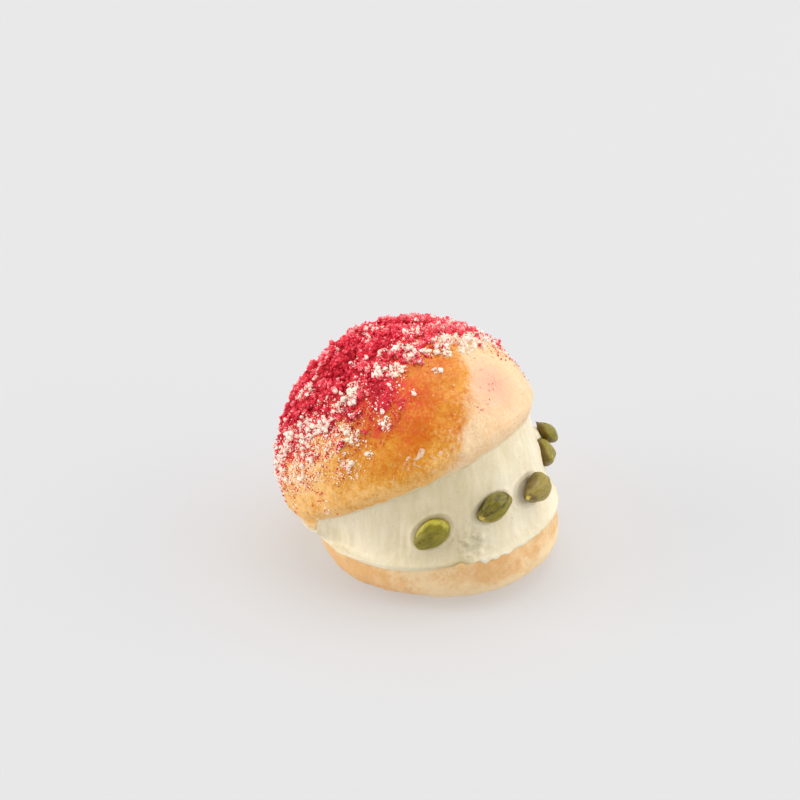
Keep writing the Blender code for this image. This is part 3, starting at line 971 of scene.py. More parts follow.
def crust_masks(points):
    """Shares of the crust's colours, each from 0 to 1, by name."""
    degrees, height, margin = dome_place(points)
    on_dome = smooth_step(height, -0.002, 0.001)
    edge = degrees - AMBER_EDGE_AROUND - AMBER_EDGE_SLANT * (AMBER_EDGE_HEIGHT - height)
    edge = edge + 1.5 * waves(points, 0.005, 23)
    high = smooth_step(height, -0.001, 0.014)
    left = 1 - 0.85 * smooth_step(degrees, 56, 100)
    far = 0.50 + 0.15 * waves(points, 0.014, 25)
    shown = smooth_step(degrees, -120, -95)
    amber = high * left * (0.74 + 0.26 * smooth_step(edge, 2, 18)) + 0.10 * waves(points, 0.007, 22)
    blush = spot(points, *BLUSH)
    return {
        "browning": on_dome * (amber * shown + far * high * (1 - shown)),
        # Pale side: crust that browned less, and in part a painted reflection of the key light on the glaze.
        "pale": smooth_step(-edge, -7.0, 13.0) * shown * smooth_step(height, -0.003, 0.0005),
        "golden": np.maximum(
            smooth_step(height, 0.026, 0.034),
            smooth_step(-degrees, 2, 34) * smooth_step(height, 0.004, 0.016),
        ),
        "blush": blush,
        "bottom": 1 - on_dome,
        "rim": (1 - on_dome) * base_rim(points, degrees),
        "specks": on_dome * (0.22 + 0.6 * blush + 0.45 * smooth_step(margin, -25, -5)),
        "powder": powder_share(points, degrees, margin),
    }


def base_rim(points, degrees):
    """1 where the edge of the bottom half under the cream is browner."""
    broad = smooth_step(points[:, 2], 0.006, 0.0125) * bump(degrees, 36, 26)
    thin = smooth_step(points[:, 2], 0.0105, 0.0135) * smooth_step(-degrees, -60, -20)
    left = smooth_step(degrees, 68, 92) * smooth_step(-degrees, -150, -120)
    return np.maximum(broad, 0.7 * thin) + 0.95 * left


def powder_share(points, degrees, margin):
    """Fruit powder on the crust: thick under the crumbs, rubbed out over the front below them."""
    ragged = margin + 3.0 * waves(points, 0.003, 26)
    under = smooth_step(ragged, 2, 20)
    rubbed = 1.1 * bump(degrees, 50, 11) * smooth_step(ragged, -10, 3)
    mist = bump(degrees, 41, 17) * (0.42 * smooth_step(ragged, -36, -6) + 0.26 * smooth_step(ragged, -14, 0))
    far_edge = 0.85 * bump(degrees, -62, 30) * smooth_step(ragged, -25 + 0.1 * degrees, -2)
    blush = 0.20 * spot(points, *BLUSH_POWDER)
    powder = np.maximum.reduce((under, rubbed + 0.5 * mist, mist, far_edge, blush))
    return powder * (1 - spot(points, *BARE_PATCH))


def spot(points, degrees, height, spread):
    """1 at a place on the dome, fading to nothing around it."""
    place = patch_point(math.radians(degrees), height)
    return bump(np.linalg.norm(points - place, axis=1), 0, spread)


def patch_point(around, height):
    """Point of the dome at an angle around and a height over the cut."""
    if height < DOME_WIDEST:
        level, radius = flare_profile(height / DOME_WIDEST)
    else:
        share = (height - DOME_WIDEST) / (DOME_HEIGHT - DOME_WIDEST)
        level, radius = dome_profile(math.asin(share ** (DOME_ROUNDNESS / 2)))
    return dome_point(np.array(level), np.array(radius), np.array(around))


def dome_rise(points):
    """How far points stand out of the smooth dome."""
    offset = points - UPPER_RIM_CENTRE
    up = np.maximum(0, offset @ upward(UPPER_TILT) - DOME_WIDEST) / (DOME_HEIGHT - DOME_WIDEST)
    out = np.hypot(offset @ forward(UPPER_TILT), offset @ LEFT) / DOME_RADIUS
    size = (up**DOME_ROUNDNESS + out**DOME_ROUNDNESS) ** (1 / DOME_ROUNDNESS)
    return (size - 1) * DOME_RADIUS


def build_crust(look):
    skin = new_object("skin", skin_mesh("skin"))
    wedge = cut_wedge("wedge", RIM_LIP)
    mesh = remeshed(skin, wedge, look.voxel)
    smooth_skin = surface_of(skin.data)
    remove_objects(skin, wedge)
    points = mesh_points(mesh)
    on_skin, _, depth = nearest_on(smooth_skin, points)
    outside = outside_cut(points)
    settled = smooth_step(outside, 0.0006, 0.0018) * smooth_step(-depth, -0.002, -0.001)
    points = points + settled[:, None] * (on_skin - points)
    points = relax(points, mesh, 0.5 * (1 - smooth_step(outside, 0.001, 0.0022)), 7)
    set_points(mesh, points)
    inside = smooth_step(depth, 0.0008, 0.0022) * (1 - smooth_step(outside, 0.0004, 0.0010))
    points = add_unevenness(points, mesh_normals(mesh), dome_place(points)[2], inside)
    points[:, 2] = np.maximum(points[:, 2], 0)
    set_points(mesh, points)
    put_attribute(mesh, "inside", inside)
    for name, share in crust_masks(points).items():
        put_attribute(mesh, name, share)
    return new_object("crust", mesh)


def glaze_mark(mark, number, crust):
    """Points of one flake: a thin ragged patch that lies on the crust, sunk in at its edge."""
    around, height, length, width, turn = mark
    place = patch_point(math.radians(around), height)
    level = patch_point(math.radians(around - 0.5), height) - place
    rise = patch_point(math.radians(around), height + 0.0004) - place
    level, rise = level / np.linalg.norm(level), rise / np.linalg.norm(rise)
    turn = math.radians(turn)
    along = math.cos(turn) * level + math.sin(turn) * rise
    across = math.cos(turn) * rise - math.sin(turn) * level
    u, v = np.meshgrid(*(np.linspace(-1, 1, count) for count in GLAZE_GRID), indexing="ij")
    curl = 0.05 * length * np.sin(2.4 * u + number)
    reach = v * np.sqrt(np.maximum(0.02, 1 - u**2)) * width / 2
    points = place + (u * length / 2)[..., None] * along + (reach + curl)[..., None] * across
    ragged = 0.15 * width * waves(points, 0.0009, 90 + number)
    points = points + ragged[..., None] * across
    lift = 0.00016 * (1 - v**6) * (1 - u**6) - 0.00004
    return on_surface(crust, points, lift)


def build_glaze(crust):
    """All flakes and creases of glaze as one piece."""
    surface = surface_of(crust)
    points, faces = [], []
    for number, mark in enumerate(GLAZE_MARKS):
        flake = glaze_mark(mark, number, surface)
        start = sum(len(block) for block in points)
        faces += (grid_faces(*flake.shape[:2], False) + start).tolist()
        points.append(flake.reshape(-1, 3))
    return new_object("glaze_flakes", mesh_from("glaze", np.concatenate(points), faces))


# ---------------------------------------------------------------- cream


def lip_drop(around):
    """How far the cream hangs over the lower crust."""
    degrees = np.degrees(around)
    ring = np.stack((0.04 * np.cos(around), 0.04 * np.sin(around), 0 * around), -1)
    ragged = waves(ring, 0.0019, 34)
    round_lip = 0.0012 * bump(degrees, 76, 18)
    torn_lip = bump(degrees, 34, 9) * (0.0006 + 0.00022 * ragged)
    rough = 0.00012 * ragged * smooth_step(np.abs(degrees - 76), 18, 30)
    return 0.0006 + rough + round_lip + torn_lip - 0.0005 * lip_gap(around)


def lip_gap(around):
    """1 where the cream has shrunk back from the lower crust."""
    return bump(np.degrees(around), 46.5, 4.5)


def level_under_roof(around):
    """Highest level of the cut's side that is still under the crust, at each angle."""
    low, high = np.zeros_like(around), np.ones_like(around)
    for _ in range(24):
        middle = (low + high) / 2
        point = cut_point(middle, around)
        under = point[..., 2] <= cut_roof(point[..., 1]) + 1e-6
        low = np.where(under, middle, low)
        high = np.where(under, high, middle)
    return low


def clear_of_crust(crust, points, gap):
    """Points that lie inside the crust moved out to just above it."""
    places, normals, depth = nearest_on(crust, points)
    sunk = (depth > -gap) & (depth < 0.0015)
    return np.where(sunk[..., None], places + gap * normals, points)


def cream_brim(around, top, crust):
    """Rows of the cream's upper edge, which is smeared a little way up the crust."""
    edge = cut_point(top, around)[:, 0, :]
    rise = 0.0006 + 0.00026 * (waves(edge, 0.0045, 33) + 0.8 * waves(edge, 0.0017, 36))[:, None]
    rise = np.maximum(0.00025, rise)
    step = 1e-3
    pace = np.linalg.norm(cut_point(top - step, around) - cut_point(top, around), axis=-1) / step
    rows = []
    for share, lift in BRIM_ROWS:
        under_fold = cut_point(top + share * rise / pace, around)
        height = share * rise
        _, radius = flare_profile(height / DOME_WIDEST)
        on_flare = dome_point(height, radius, around)
        row = np.where((top < 0.995)[..., None], under_fold, on_flare)
        rows.append(on_surface(crust, row, np.full(row.shape[:-1], lift)))
    return np.concatenate(rows, 1)


def cream_lip(around, outward, crust):
    """Rows of the cream's lower edge, which hangs over the lower crust, from the lowest up."""
    rim = cut_point(np.zeros_like(around), around)
    drop = lip_drop(around)
    rows = []
    for share, lift in LIP_ROWS:
        row = rim - (share * drop)[..., None] * UP_AXIS + 0.0003 * outward
        lifts = lift * (1 - lip_gap(around)) - 0.0001 * lip_gap(around)
        rows.append(on_surface(crust, row, lifts))
    return np.concatenate(rows, 1)


def cream_sections(crust):
    """Closed sections of the cream from one end of the cut to the other."""
    around = np.linspace(-CREAM_END, CREAM_END, CREAM_COLUMNS)[:, None]
    share = np.linspace(0, 1, CREAM_ROWS)[None, :]
    top = level_under_roof(around)
    wall = cut_point(share * top, around)
    wall = wall + cream_relief(wall, share)
    outward = np.cos(around)[..., None] * forward(LOWER_TILT) + np.sin(around)[..., None] * LEFT
    brim = cream_brim(around, top, crust)
    lip = cream_lip(around, outward, crust)
    wall = wall + (smooth_step(share, 0.90, 1) * 0.0001)[..., None] * outward
    wall = wall + (0.00040 * (1 - share) ** 12 * (1 - 3 * lip_gap(around)))[..., None] * outward
    edge_rows = 7
    wall[:, :edge_rows] = clear_of_crust(crust, wall[:, :edge_rows], 0.0001)
    wall[:, -edge_rows:] = clear_of_crust(crust, wall[:, -edge_rows:], 0.0001)
    rim = cut_point(np.zeros_like(around), around)[:, 0, :]
    spine = -SPINE_HALF * np.sin(around[:, 0] * math.pi / 2 / CREAM_END)
    inner = LOWER_RIM_RADIUS - STRIP_THICKNESS
    low = cut_height(inner, LOWER_RIM_CENTRE, LOWER_TILT) - CREAM_UNDER
    high = float(cut_roof(inner)) + CREAM_UNDER
    turn = np.linspace(math.pi / 2, -math.pi / 2, 9)[1:-1]
    bulge, middle = (high - low) / 2, (high + low) / 2
    steps = np.linspace(0, 1, UNDER_ROWS)[:, None]
    sections = []
    for k in range(CREAM_COLUMNS):
        low_end = np.array((spine[k], inner, low))
        under = low_end + (rim[k] - CREAM_UNDER * UP_AXIS - 0.0012 * outward[k] - low_end) * steps
        over = wall[k, -1] - 0.0008 * outward[k]
        over = over + (np.array((spine[k], inner, high)) - over) * steps
        over[:, 2] = cut_roof(over[:, 1]) + CREAM_UNDER
        end = np.stack((0 * turn + spine[k], inner + bulge * np.cos(turn), middle + bulge * np.sin(turn)), 1)
        sections.append(np.concatenate((under, lip[k], wall[k], brim[k], over, end)))
    return np.array(sections)


def cream_relief(wall, share):
    """Marks of the knife, the dents that the kernels press, a disturbed patch and loose drops."""
    outward = wall - wall.mean((0, 1))
    outward[..., 2] = 0
    outward /= np.linalg.norm(outward, axis=-1, keepdims=True)
    points = wall.reshape(-1, 3)
    flat = points * np.array((1, 1, 0.15))
    lift = 0.00007 * waves(flat, 0.0016, 31) + 0.00016 * waves(flat, 0.005, 32)
    lift = lift * (np.sin(math.pi * share) ** 0.5 + 0 * wall[..., 0]).ravel()
    patch = np.linalg.norm(points - cream_frame(*DISTURBED)[0], axis=1)
    ridges = 0.00055 * (1 - 2 * np.abs(np.tanh(waves(points, 0.0018, 35))))
    lift = lift + bump(patch, 0, 0.0055) * ridges
    drop = np.linalg.norm(points - cream_frame(*LOOSE_DROP)[0], axis=1) / 0.0011
    lift = lift + 0.0010 * np.sqrt(np.maximum(0, 1 - drop**2)) + cream_dab(points) - kernel_dents(points)
    return lift.reshape(wall.shape[:2])[..., None] * outward


def cream_dab(points):
    """Height of the dab of cream that lifts the last kernel."""
    place, sideways, rise, _ = cream_frame(KERNELS[-1].around, KERNELS[-1].level)
    offset = points - place
    reach = np.hypot(offset @ sideways / DAB_HALF[0], offset @ rise / DAB_HALF[1])
    near = np.linalg.norm(offset, axis=1) < 0.02
    return near * DAB_HALF[2] * np.sqrt(np.maximum(0, 1 - reach**2))


def kernel_dents(points):
    """Depth of the hollows that the kernels press, less the low ridges around them."""
    depth = np.zeros(len(points))
    for kernel in KERNELS:
        middle, along, across, _ = kernel_frame(kernel)
        offset = points - middle
        reach = np.hypot(offset @ along / (kernel.length / 2), offset @ across / (kernel.width / 2))
        near = np.linalg.norm(offset, axis=1) < kernel.length
        sunk = max(0, kernel.thickness / 2 - kernel.stands_out)
        hollow = 0.7 * sunk * (1 - smooth_step(reach, 0.45, 0.95))
        ring = 0.00030 * bump(reach, 1.18, 0.12)
        depth += near * (hollow - ring * (sunk > 0))
    return depth


def build_cream(crust):
    sections = cream_sections(surface_of(crust))
    columns, count = sections.shape[:2]
    faces = grid_faces(columns, count, True).tolist()
    faces.append(list(range(count)))
    last = (columns - 1) * count
    faces.append([last + k for k in range(count)][::-1])
    mesh = mesh_from("cream", sections, faces)
    recalculate_normals(mesh)
    for name, share in cream_masks(sections).items():
        put_attribute(mesh, name, share.ravel())
    return new_object("cream_filling", mesh)


def cream_masks(sections):
    """Shares of the cream's colours, each from 0 to 1, by name, with painted shade and a painted shadow
    among them.
    """
    columns, count = sections.shape[:2]
    around = np.linspace(-CREAM_END, CREAM_END, columns)[:, None]
    degrees = np.degrees(around)
    row = np.arange(count)[None, :]
    from_lip = row - UNDER_ROWS
    edge = smooth_step(from_lip, -1.5, 0) * smooth_step(-from_lip, -6, -3)
    brim = smooth_step(from_lip - len(LIP_ROWS) - CREAM_ROWS, -2, 0)
    patch = np.linalg.norm(sections - cream_frame(*DISTURBED)[0], axis=-1)
    # Painted light: the torn lip is lightened as a painted highlight, and the middle of the cream is
    # darkened as painted shade.
    torn_lip_highlight = bump(degrees, 34, 9) * edge
    return {
        "shade": 0.22 + 0.60 * bump(degrees, 51, 22) - 0.8 * torn_lip_highlight,
        "brim": brim + 0 * degrees,
        "smear": bump(patch, 0, 0.0052),
        # Painted shadow along the gap under the lip.
        "gap": lip_gap(around) * edge,
    }


# ---------------------------------------------------------------- kernels


def cream_frame(around, level):
    """A place on the cream's side, with directions towards the front, up across the cut and out."""
    step = 1e-4
    around, level = np.array(math.radians(around)), np.array(level)
    place = cut_point(level, around)
    across_cut = cut_point(level + step, around) - place
    sideways = cut_point(level, around - step) - place
    sideways /= np.linalg.norm(sideways)
    outward = np.cross(sideways, across_cut)
    outward /= np.linalg.norm(outward)
    return place, sideways, np.cross(outward, sideways), outward


def kernel_frame(kernel):
    """Middle of a kernel, with directions along it, across it and through it."""
    place, sideways, rise, outward = cream_frame(kernel.around, kernel.level)
    turn, lean = math.radians(kernel.turn), math.radians(kernel.lean)
    flat = math.cos(turn) * sideways + math.sin(turn) * rise
    along = math.cos(lean) * flat + math.sin(lean) * outward
    through = math.cos(lean) * outward - math.sin(lean) * flat
    return place + kernel.stands_out * outward, along, np.cross(outward, flat), through


def kernel_points(ball, kernel, side):
    """Points of a unit ball turned into a kernel's, and the shares of its colours."""
    x, y, z = ball.T
    to_tip = np.maximum(0, (TAPER_START - z) / (1 + TAPER_START))
    thin = 1 - kernel.taper * to_tip**TAPER_POWER
    outer = smooth_step(y, -0.05, 0.35)
    seam = x - side.meeting - 0.25 * z
    groove = side.lobes * bump(seam, 0, 0.5 * KERNEL_GROOVE_WIDTH) * smooth_step(z, -0.75, -0.2) * outer
    step = LOBE_STEP * side.lobes * smooth_step(-seam, -0.15, 0.15) * (1 - z**2) * outer
    face = side.edge * bump(np.hypot(x + 0.05, z + 0.1), 0, 0.55) * outer
    across = kernel.width / 2 * x * thin
    out = kernel.thickness / 2 * (y * thin - step - 0.10 * face) - KERNEL_GROOVE * groove
    # Painted highlight: the rim is lightest on one side, where the light falls.
    rim = side.edge * bump(np.hypot(x, z), 0.88, 0.13) * smooth_step(x + 0.6 * z, -0.2, 0.7) * outer
    upper = side.lobes * smooth_step(seam, -0.05, 0.1)
    tip = smooth_step(-z, 0.70, 0.92)
    veins = np.maximum(0, np.cos(9 * x)) * smooth_step(-z, 0.35, 0.75)
    colours = {
        # Lightness: a painted highlight along the rim, painted shade in the groove, a darker upper lobe and
        # a darker face.
        "light": 0.45 + 0.55 * rim - 0.26 * upper - 0.3 * groove - 0.16 * face,
        "khaki": side.khaki * (1 - 0.8 * upper),
        "yellow": side.scar * (0.9 * tip + 0.55 * veins) * outer,
        "brown": side.browned * np.maximum.reduce((
            smooth_step(-z - 0.3 * x, 0.2, 0.85),
            # Painted shade on the side that faces into the cream.
            smooth_step(-y, -0.3, 0.2),
            smooth_step(x - 0.2 * z, 0.70, 0.98) * (side.browned > 0.55),
        )),
        "along": kernel.length / 2 * z,
        "across": across,
        "through": out,
    }
    return np.stack((across, out, kernel.length / 2 * z), 1), colours


def build_kernel(number, kernel, side):
    middle, along, across, through = kernel_frame(kernel)
    name = f"kernel_{number}"
    mesh = ball_mesh(name, KERNEL_SEGMENTS, KERNEL_RINGS)
    local, colours = kernel_points(mesh_points(mesh), kernel, side)
    wrinkle = 0.00014 * waves(local * np.array((1, 1, 0.35)), 0.0015, 40 + number)
    swell = 0.00028 * waves(local, 0.0045, 50 + number)
    local = local * (1 + ((wrinkle + swell) / np.linalg.norm(local, axis=1))[:, None])
    set_points(mesh, middle + local @ np.stack((across, through, along)))
    for name_of_share, share in colours.items():
        put_attribute(mesh, name_of_share, share)
    return new_object(name, mesh)


# ---------------------------------------------------------------- crumbs


# Inputs of the node tree that strews crumbs, with their kinds
SCATTER_INPUTS = {
    "Geometry": "Geometry",
    "Shapes": "Collection",
    "Spacing": "Float",
    "Density": "Float",
    "Smallest": "Float",
    "Largest": "Float",
    "Size falloff": "Float",
    "Sunk": "Float",
    "Standing": "Float",
    "Seed": "Int",
    "Material": "Material",
}


def scatter_group():
    """Node tree that strews shapes over a mesh where its share attribute says so."""
    group = bpy.data.node_groups.new("Strew crumbs", "GeometryNodeTree")
    for name, kind in SCATTER_INPUTS.items():
        group.interface.new_socket(name, in_out="INPUT", socket_type=f"NodeSocket{kind}")
    group.interface.new_socket("Geometry", in_out="OUTPUT", socket_type="NodeSocketGeometry")
    tree = Tree(group)
    given = tree.add("NodeGroupInput", {}, {})
    placed = scattered_shapes(tree, given, scattered_points(tree, given))
    tint = random_number(tree, -1.0, 1.0, given.output("Seed") + 4)
    tinted = tree.add(
        "GeometryNodeStoreNamedAttribute",
        {"data_type": "FLOAT", "domain": "INSTANCE"},
        {"Geometry": placed, "Name": "tint", "Value": tint},
    )
    plain = tree.add("GeometryNodeRealizeInstances", {}, {"Geometry": tinted})
    material = given.output("Material")
    dressed = tree.add("GeometryNodeSetMaterial", {}, {"Geometry": plain, "Material": material})
    tree.add("NodeGroupOutput", {}, {"Geometry": dressed})
    return group


def scattered_points(tree, given):
    """Random points on the mesh, lifted off it by between sunk and standing."""
    seed = given.output("Seed")
    share = tree.add("GeometryNodeInputNamedAttribute", {"data_type": "FLOAT"}, {"Name": "share"})
    strewn_points = tree.add("GeometryNodeDistributePointsOnFaces", {"distribute_method": "POISSON"}, {
        "Mesh": given.output("Geometry"),
        "Distance Min": given.output("Spacing"),
        "Density Max": given.output("Density"),
        "Density Factor": share,
        "Seed": seed,
    })
    lift = random_number(tree, given.output("Sunk"), given.output("Standing"), seed + 1)
    normal = strewn_points.output("Normal")
    offset = tree.add("ShaderNodeVectorMath", {"operation": "SCALE"}, {0: normal, "Scale": lift})
    return tree.add("GeometryNodeSetPosition", {}, {"Geometry": strewn_points, "Offset": offset})


def scattered_shapes(tree, given, points):
    """One of the shapes at each point, at a random size and turn."""
    seed = given.output("Seed")
    shapes = tree.add("GeometryNodeCollectionInfo", {}, {
        "Collection": given.output("Shapes"),
        "Separate Children": True,
        "Reset Children": True,
    })
    smallest = given.output("Smallest")
    draw = random_number(tree, 0.0, 1.0, seed + 2) ** given.output("Size falloff")
    turn = tree.add("FunctionNodeRandomValue", {"data_type": "FLOAT_VECTOR"}, {
        "Min": (0.0, 0.0, 0.0),
        "Max": (math.tau, math.tau, math.tau),
        "Seed": seed + 3,
    })
    return tree.add("GeometryNodeInstanceOnPoints", {}, {
        "Points": points,
        "Instance": shapes,
        "Pick Instance": True,
        "Rotation": turn,
        "Scale": smallest + draw * (given.output("Largest") - smallest),
    })


def random_number(tree, low, high, seed):
    """A random number between low and high; sockets 2 and 3 are the node's limits for numbers."""
    values = {2: low, 3: high, "Seed": seed}
    return tree.add("FunctionNodeRandomValue", {"data_type": "FLOAT"}, values, 1)


def crumb_shapes(name, count, blobs, sides, seed):
    """A passing collection of craggy lumps one metre across, to be scaled down."""
    collection = bpy.data.collections.new(name)
    bpy.context.scene.collection.children.link(collection)
    rng = np.random.default_rng(seed)
    for number in range(count):
        bm = bmesh.new()
        for _ in range(blobs):
            size = 0.5 if blobs == 1 else rng.uniform(0.26, 0.40)
            shift = Vector(rng.normal(size=3)).normalized() * (0.5 - size)
            corners = add_blob(bm, sides, size)
            stretch = rng.uniform(0.75, 1.2, 3)
            for corner in corners:
                rough = rng.uniform(0.72, 1.22)
                corner.co = shift + Vector([rough * s * c for s, c in zip(stretch, corner.co)])
        mesh = bpy.data.meshes.new(f"{name} {number}")
        bm.to_mesh(mesh)
        bm.free()
        collection.objects.link(bpy.data.objects.new(mesh.name, mesh))
    return collection


def add_blob(bm, sides, size):
    """Adds a ball of 20 or 8 sides to a mesh, and gives its corners."""
    if sides == 20:
        return bmesh.ops.create_icosphere(bm, subdivisions=1, radius=size)["verts"]
    return bmesh.ops.create_uvsphere(bm, u_segments=4, v_segments=2, radius=size)["verts"]


def remove_collection(collection):
    remove_objects(*collection.objects)
    bpy.data.collections.remove(collection)


def strewn(name, group, ground, share, shapes, values):
    """A piece made of shapes strewn over the ground mesh, as plain mesh."""
    mesh = ground.copy()
    put_attribute(mesh, "share", share)
    item = new_object(name, mesh)
    modifier = item.modifiers.new("strew", "NODES")
    modifier.node_group = group
    values = {**values, "Shapes": shapes}
    for socket in group.interface.items_tree:
        if socket.name in values and socket.in_out == "INPUT":
            modifier[socket.identifier] = values[socket.name]
    plain = evaluated_mesh(item)
    item.modifiers.clear()
    item.data = plain
    points = mesh_points(plain)
    put_attribute(plain, "margin", dome_place(points)[2])
    # Height off the dome, which the red crumbs' finish turns into painted highlight and painted shade.
    put_attribute(plain, "peak", dome_rise(points) * 1000)
    return item


def white_cluster(points):
    """1 in the middle of the clusters of white crumbs."""
    return np.maximum.reduce([spot(points, *cluster) for cluster in WHITE_CLUSTERS])


def low_left(degrees, margin):
    """1 where the crumbs thin out towards the end of the cut, on the left."""
    return smooth_step(degrees, 64, 80) * smooth_step(-degrees, -150, -125) * smooth_step(-margin, -32, -16)


def whiteness(points, degrees, margin):
    """Share of white among the crumbs: speckled near their edge, and high in the clusters."""
    left = low_left(degrees, margin)
    border = 0.46 * np.exp(-((np.maximum(0, margin) / 18) ** 1.3)) + 0.13
    coarse = waves(points, 0.0042, 72)
    fine = waves(points, 0.0012, 73)
    speckled = smooth_step(border + 0.22 * coarse + 0.18 * fine, 0.45, 0.75)
    mixed = np.clip(0.72 + 0.25 * coarse + 0.20 * fine, 0.15, 0.95)
    speckled = speckled + left * (mixed - speckled)
    return np.maximum(speckled, smooth_step(white_cluster(points) + 0.15 * fine, 0.30, 0.55))


def crumb_shares(points):
    """How thickly red and white crumbs lie, and how thickly their grains do."""
    degrees, _, margin = dome_place(points)
    left = low_left(degrees, margin)
    ragged = margin + 2.5 * waves(points, 0.0035, 74)
    trails = margin + 6.0 * waves(points * np.array((1, 1, 0.3)), 0.0026, 75)
    white = whiteness(points, degrees, margin)
    covered = 1 - spot(points, *BARE_PATCH)
    cluster = smooth_step(white_cluster(points), 0.3, 0.6)
    rubbed = bump(degrees, 48, 9) * smooth_step(-margin, -14, -9)
    lumps = smooth_step(ragged, -3, 5) * (1 - 0.9 * rubbed) * covered
    stray = 0.05 * smooth_step(ragged, -16, -6)
    grains = smooth_step(ragged, -6, 6) + left * (smooth_step(trails, -13, 6) - smooth_step(ragged, -6, 6))
    powdery = bump(degrees, 49, 9) * smooth_step(ragged, -13, -5)
    thin = smooth_step(degrees, 50, 62) * smooth_step(-margin, -16, -6)
    thin = np.maximum(thin, 0.75 * bump(degrees, -55, 30) * smooth_step(-margin, -20, -6))
    far = 0.7 * bump(degrees, -64, 26) * smooth_step(ragged, -19, -3)
    specks = [0.6 * spot(points, *place) for place in RED_SPOTS]
    red_grains = np.maximum.reduce((stray, grains, powdery, far, *specks))
    return {
        "red": lumps * (1 - 0.8 * left) * (1 - 0.85 * thin) * (1 - white),
        "white": np.maximum(lumps * (1 - 0.4 * left) * (1 - 0.6 * thin), 0.9 * cluster) * white,
        "red grains": red_grains * covered * (1 - 0.85 * white),
        "white grains": np.maximum(grains * covered * (1 - 0.95 * rubbed), cluster) * white,
    }


def joined(name, *meshes):
    """One mesh made of several."""
    bm = bmesh.new()
    for mesh in meshes:
        bm.from_mesh(mesh)
    whole = bpy.data.meshes.new(name)
    bm.to_mesh(whole)
    bm.free()
    return whole


def build_crumbs(look, crust):
    group = scatter_group()
    lumps = crumb_shapes("lumps", 12, 3, 20, 300)
    grains = crumb_shapes("grains", 9, 1, 8, 400)
    ground = crust.data
    shares = crumb_shares(mesh_points(ground))
    red = strewn("red_crumbs", group, ground, shares["red"], lumps, {
        "Spacing": 0.00110,
        "Density": 1500000.0,
        "Smallest": 0.0011,
        "Largest": 0.0034,
        "Size falloff": 2.0,
        "Sunk": -0.0004,
        "Standing": 0.0009,
        "Seed": look.seed,
    })
    white = strewn("white_crumbs", group, ground, shares["white"], lumps, {
        "Spacing": 0.0009,
        "Density": 1500000.0,
        "Smallest": 0.0008,
        "Largest": 0.0026,
        "Size falloff": 1.8,
        "Sunk": 0.0,
        "Standing": 0.0012,
        "Seed": look.seed + 10,
    })
    bed = joined("crumb bed", ground, red.data, white.data)
    shares = crumb_shares(mesh_points(bed))
    outward = outward_share(bed)
    pieces = [red, white]
    for name, kind, spacing, largest, seed in (
        ("red_grains", "red grains", 0.00056, 0.00100, 20),
        ("pink_grains", "red grains", 0.00058, 0.00090, 30),
        ("white_grains", "white grains", 0.00032, 0.00085, 40),
    ):
        pieces.append(strewn(name, group, bed, shares[kind] * outward, grains, {
            "Spacing": spacing,
            "Density": 6000000.0,
            "Smallest": 0.00028,
            "Largest": largest,
            "Size falloff": 1.8,
            "Sunk": -0.0001,
            "Standing": 0.0004,
            "Seed": look.seed + seed,
        }))
    remove_collection(lumps)
    remove_collection(grains)
    return pieces


def outward_share(mesh):
    """1 on the faces of lumps that look away from the bun, 0 on those below."""
    points = mesh_points(mesh)
    middle = UPPER_RIM_CENTRE + DOME_WIDEST * upward(UPPER_TILT)
    away = points - middle
    away /= np.linalg.norm(away, axis=1, keepdims=True)
    return smooth_step((mesh_normals(mesh) * away).sum(1), -0.2, 0.3)


# ---------------------------------------------------------------- stage


def add_softbox(name, direction, distance, size, radiance, colour):
    """Square lamp that faces the bun, as bright as radiance says."""
    lamp = bpy.data.lights.new(name, "AREA")
    lamp.shape = "SQUARE"
    lamp.size = size
    lamp.energy = radiance * math.pi * size * size
    lamp.color = colour
    item = bpy.data.objects.new(name, lamp)
    bpy.context.scene.collection.objects.link(item)
    item.location = direction.normalized() * distance
    item.rotation_mode = "QUATERNION"
    item.rotation_quaternion = direction.to_track_quat("Z", "Y")


def view_directions():
    """Level directions to the right of the view and towards the camera, and from the bun to it."""
    right = Vector((math.cos(VIEW_AROUND), -math.sin(VIEW_AROUND), 0))
    toward = Vector((-math.sin(VIEW_AROUND), -math.cos(VIEW_AROUND), 0))
    return right, toward, math.cos(VIEW_ELEVATION) * toward + math.sin(VIEW_ELEVATION) * Vector(UP_AXIS)


def add_world(colour, toward, fill, front):
    """Even light all round that is weaker on the camera's side."""
    world = bpy.data.worlds.new("studio")
    world.use_nodes = True
    tree = Tree(world.node_tree)
    direction = tree.add("ShaderNodeTexCoord", {}, {}).output("Generated")
    ahead = tree.add("ShaderNodeVectorMath", {"operation": "DOT_PRODUCT"}, {0: direction, 1: tuple(toward)})
    ahead = ahead.output("Value")
    background = world.node_tree.nodes["Background"]
    background.inputs["Color"].default_value = (*colour, 1)
    tree.put(background.inputs["Strength"], tree.rise(ahead, -0.1, 0.8) * (front - fill) + fill)
    bpy.context.scene.world = world


def add_camera(look, right, back):
    """Camera at the photograph's angle, in the direction back from the bun."""
    camera = bpy.data.cameras.new("camera")
    camera.sensor_width = 36
    camera.lens = look.lens
    item = bpy.data.objects.new("camera", camera)
    bpy.context.scene.collection.objects.link(item)
    aim = look.aim_right * right + look.aim_up * back.cross(right)
    item.location = look.distance * back
    item.rotation_mode = "QUATERNION"
    item.rotation_quaternion = (item.location - aim).to_track_quat("Z", "Y")
    bpy.context.scene.camera = item


# ---------------------------------------------------------------- properties


def colour_property(name, description, default):
    return bpy.props.FloatVectorProperty(
        name=name, description=description, default=default, size=3, min=0, max=1, subtype="COLOR"
    )


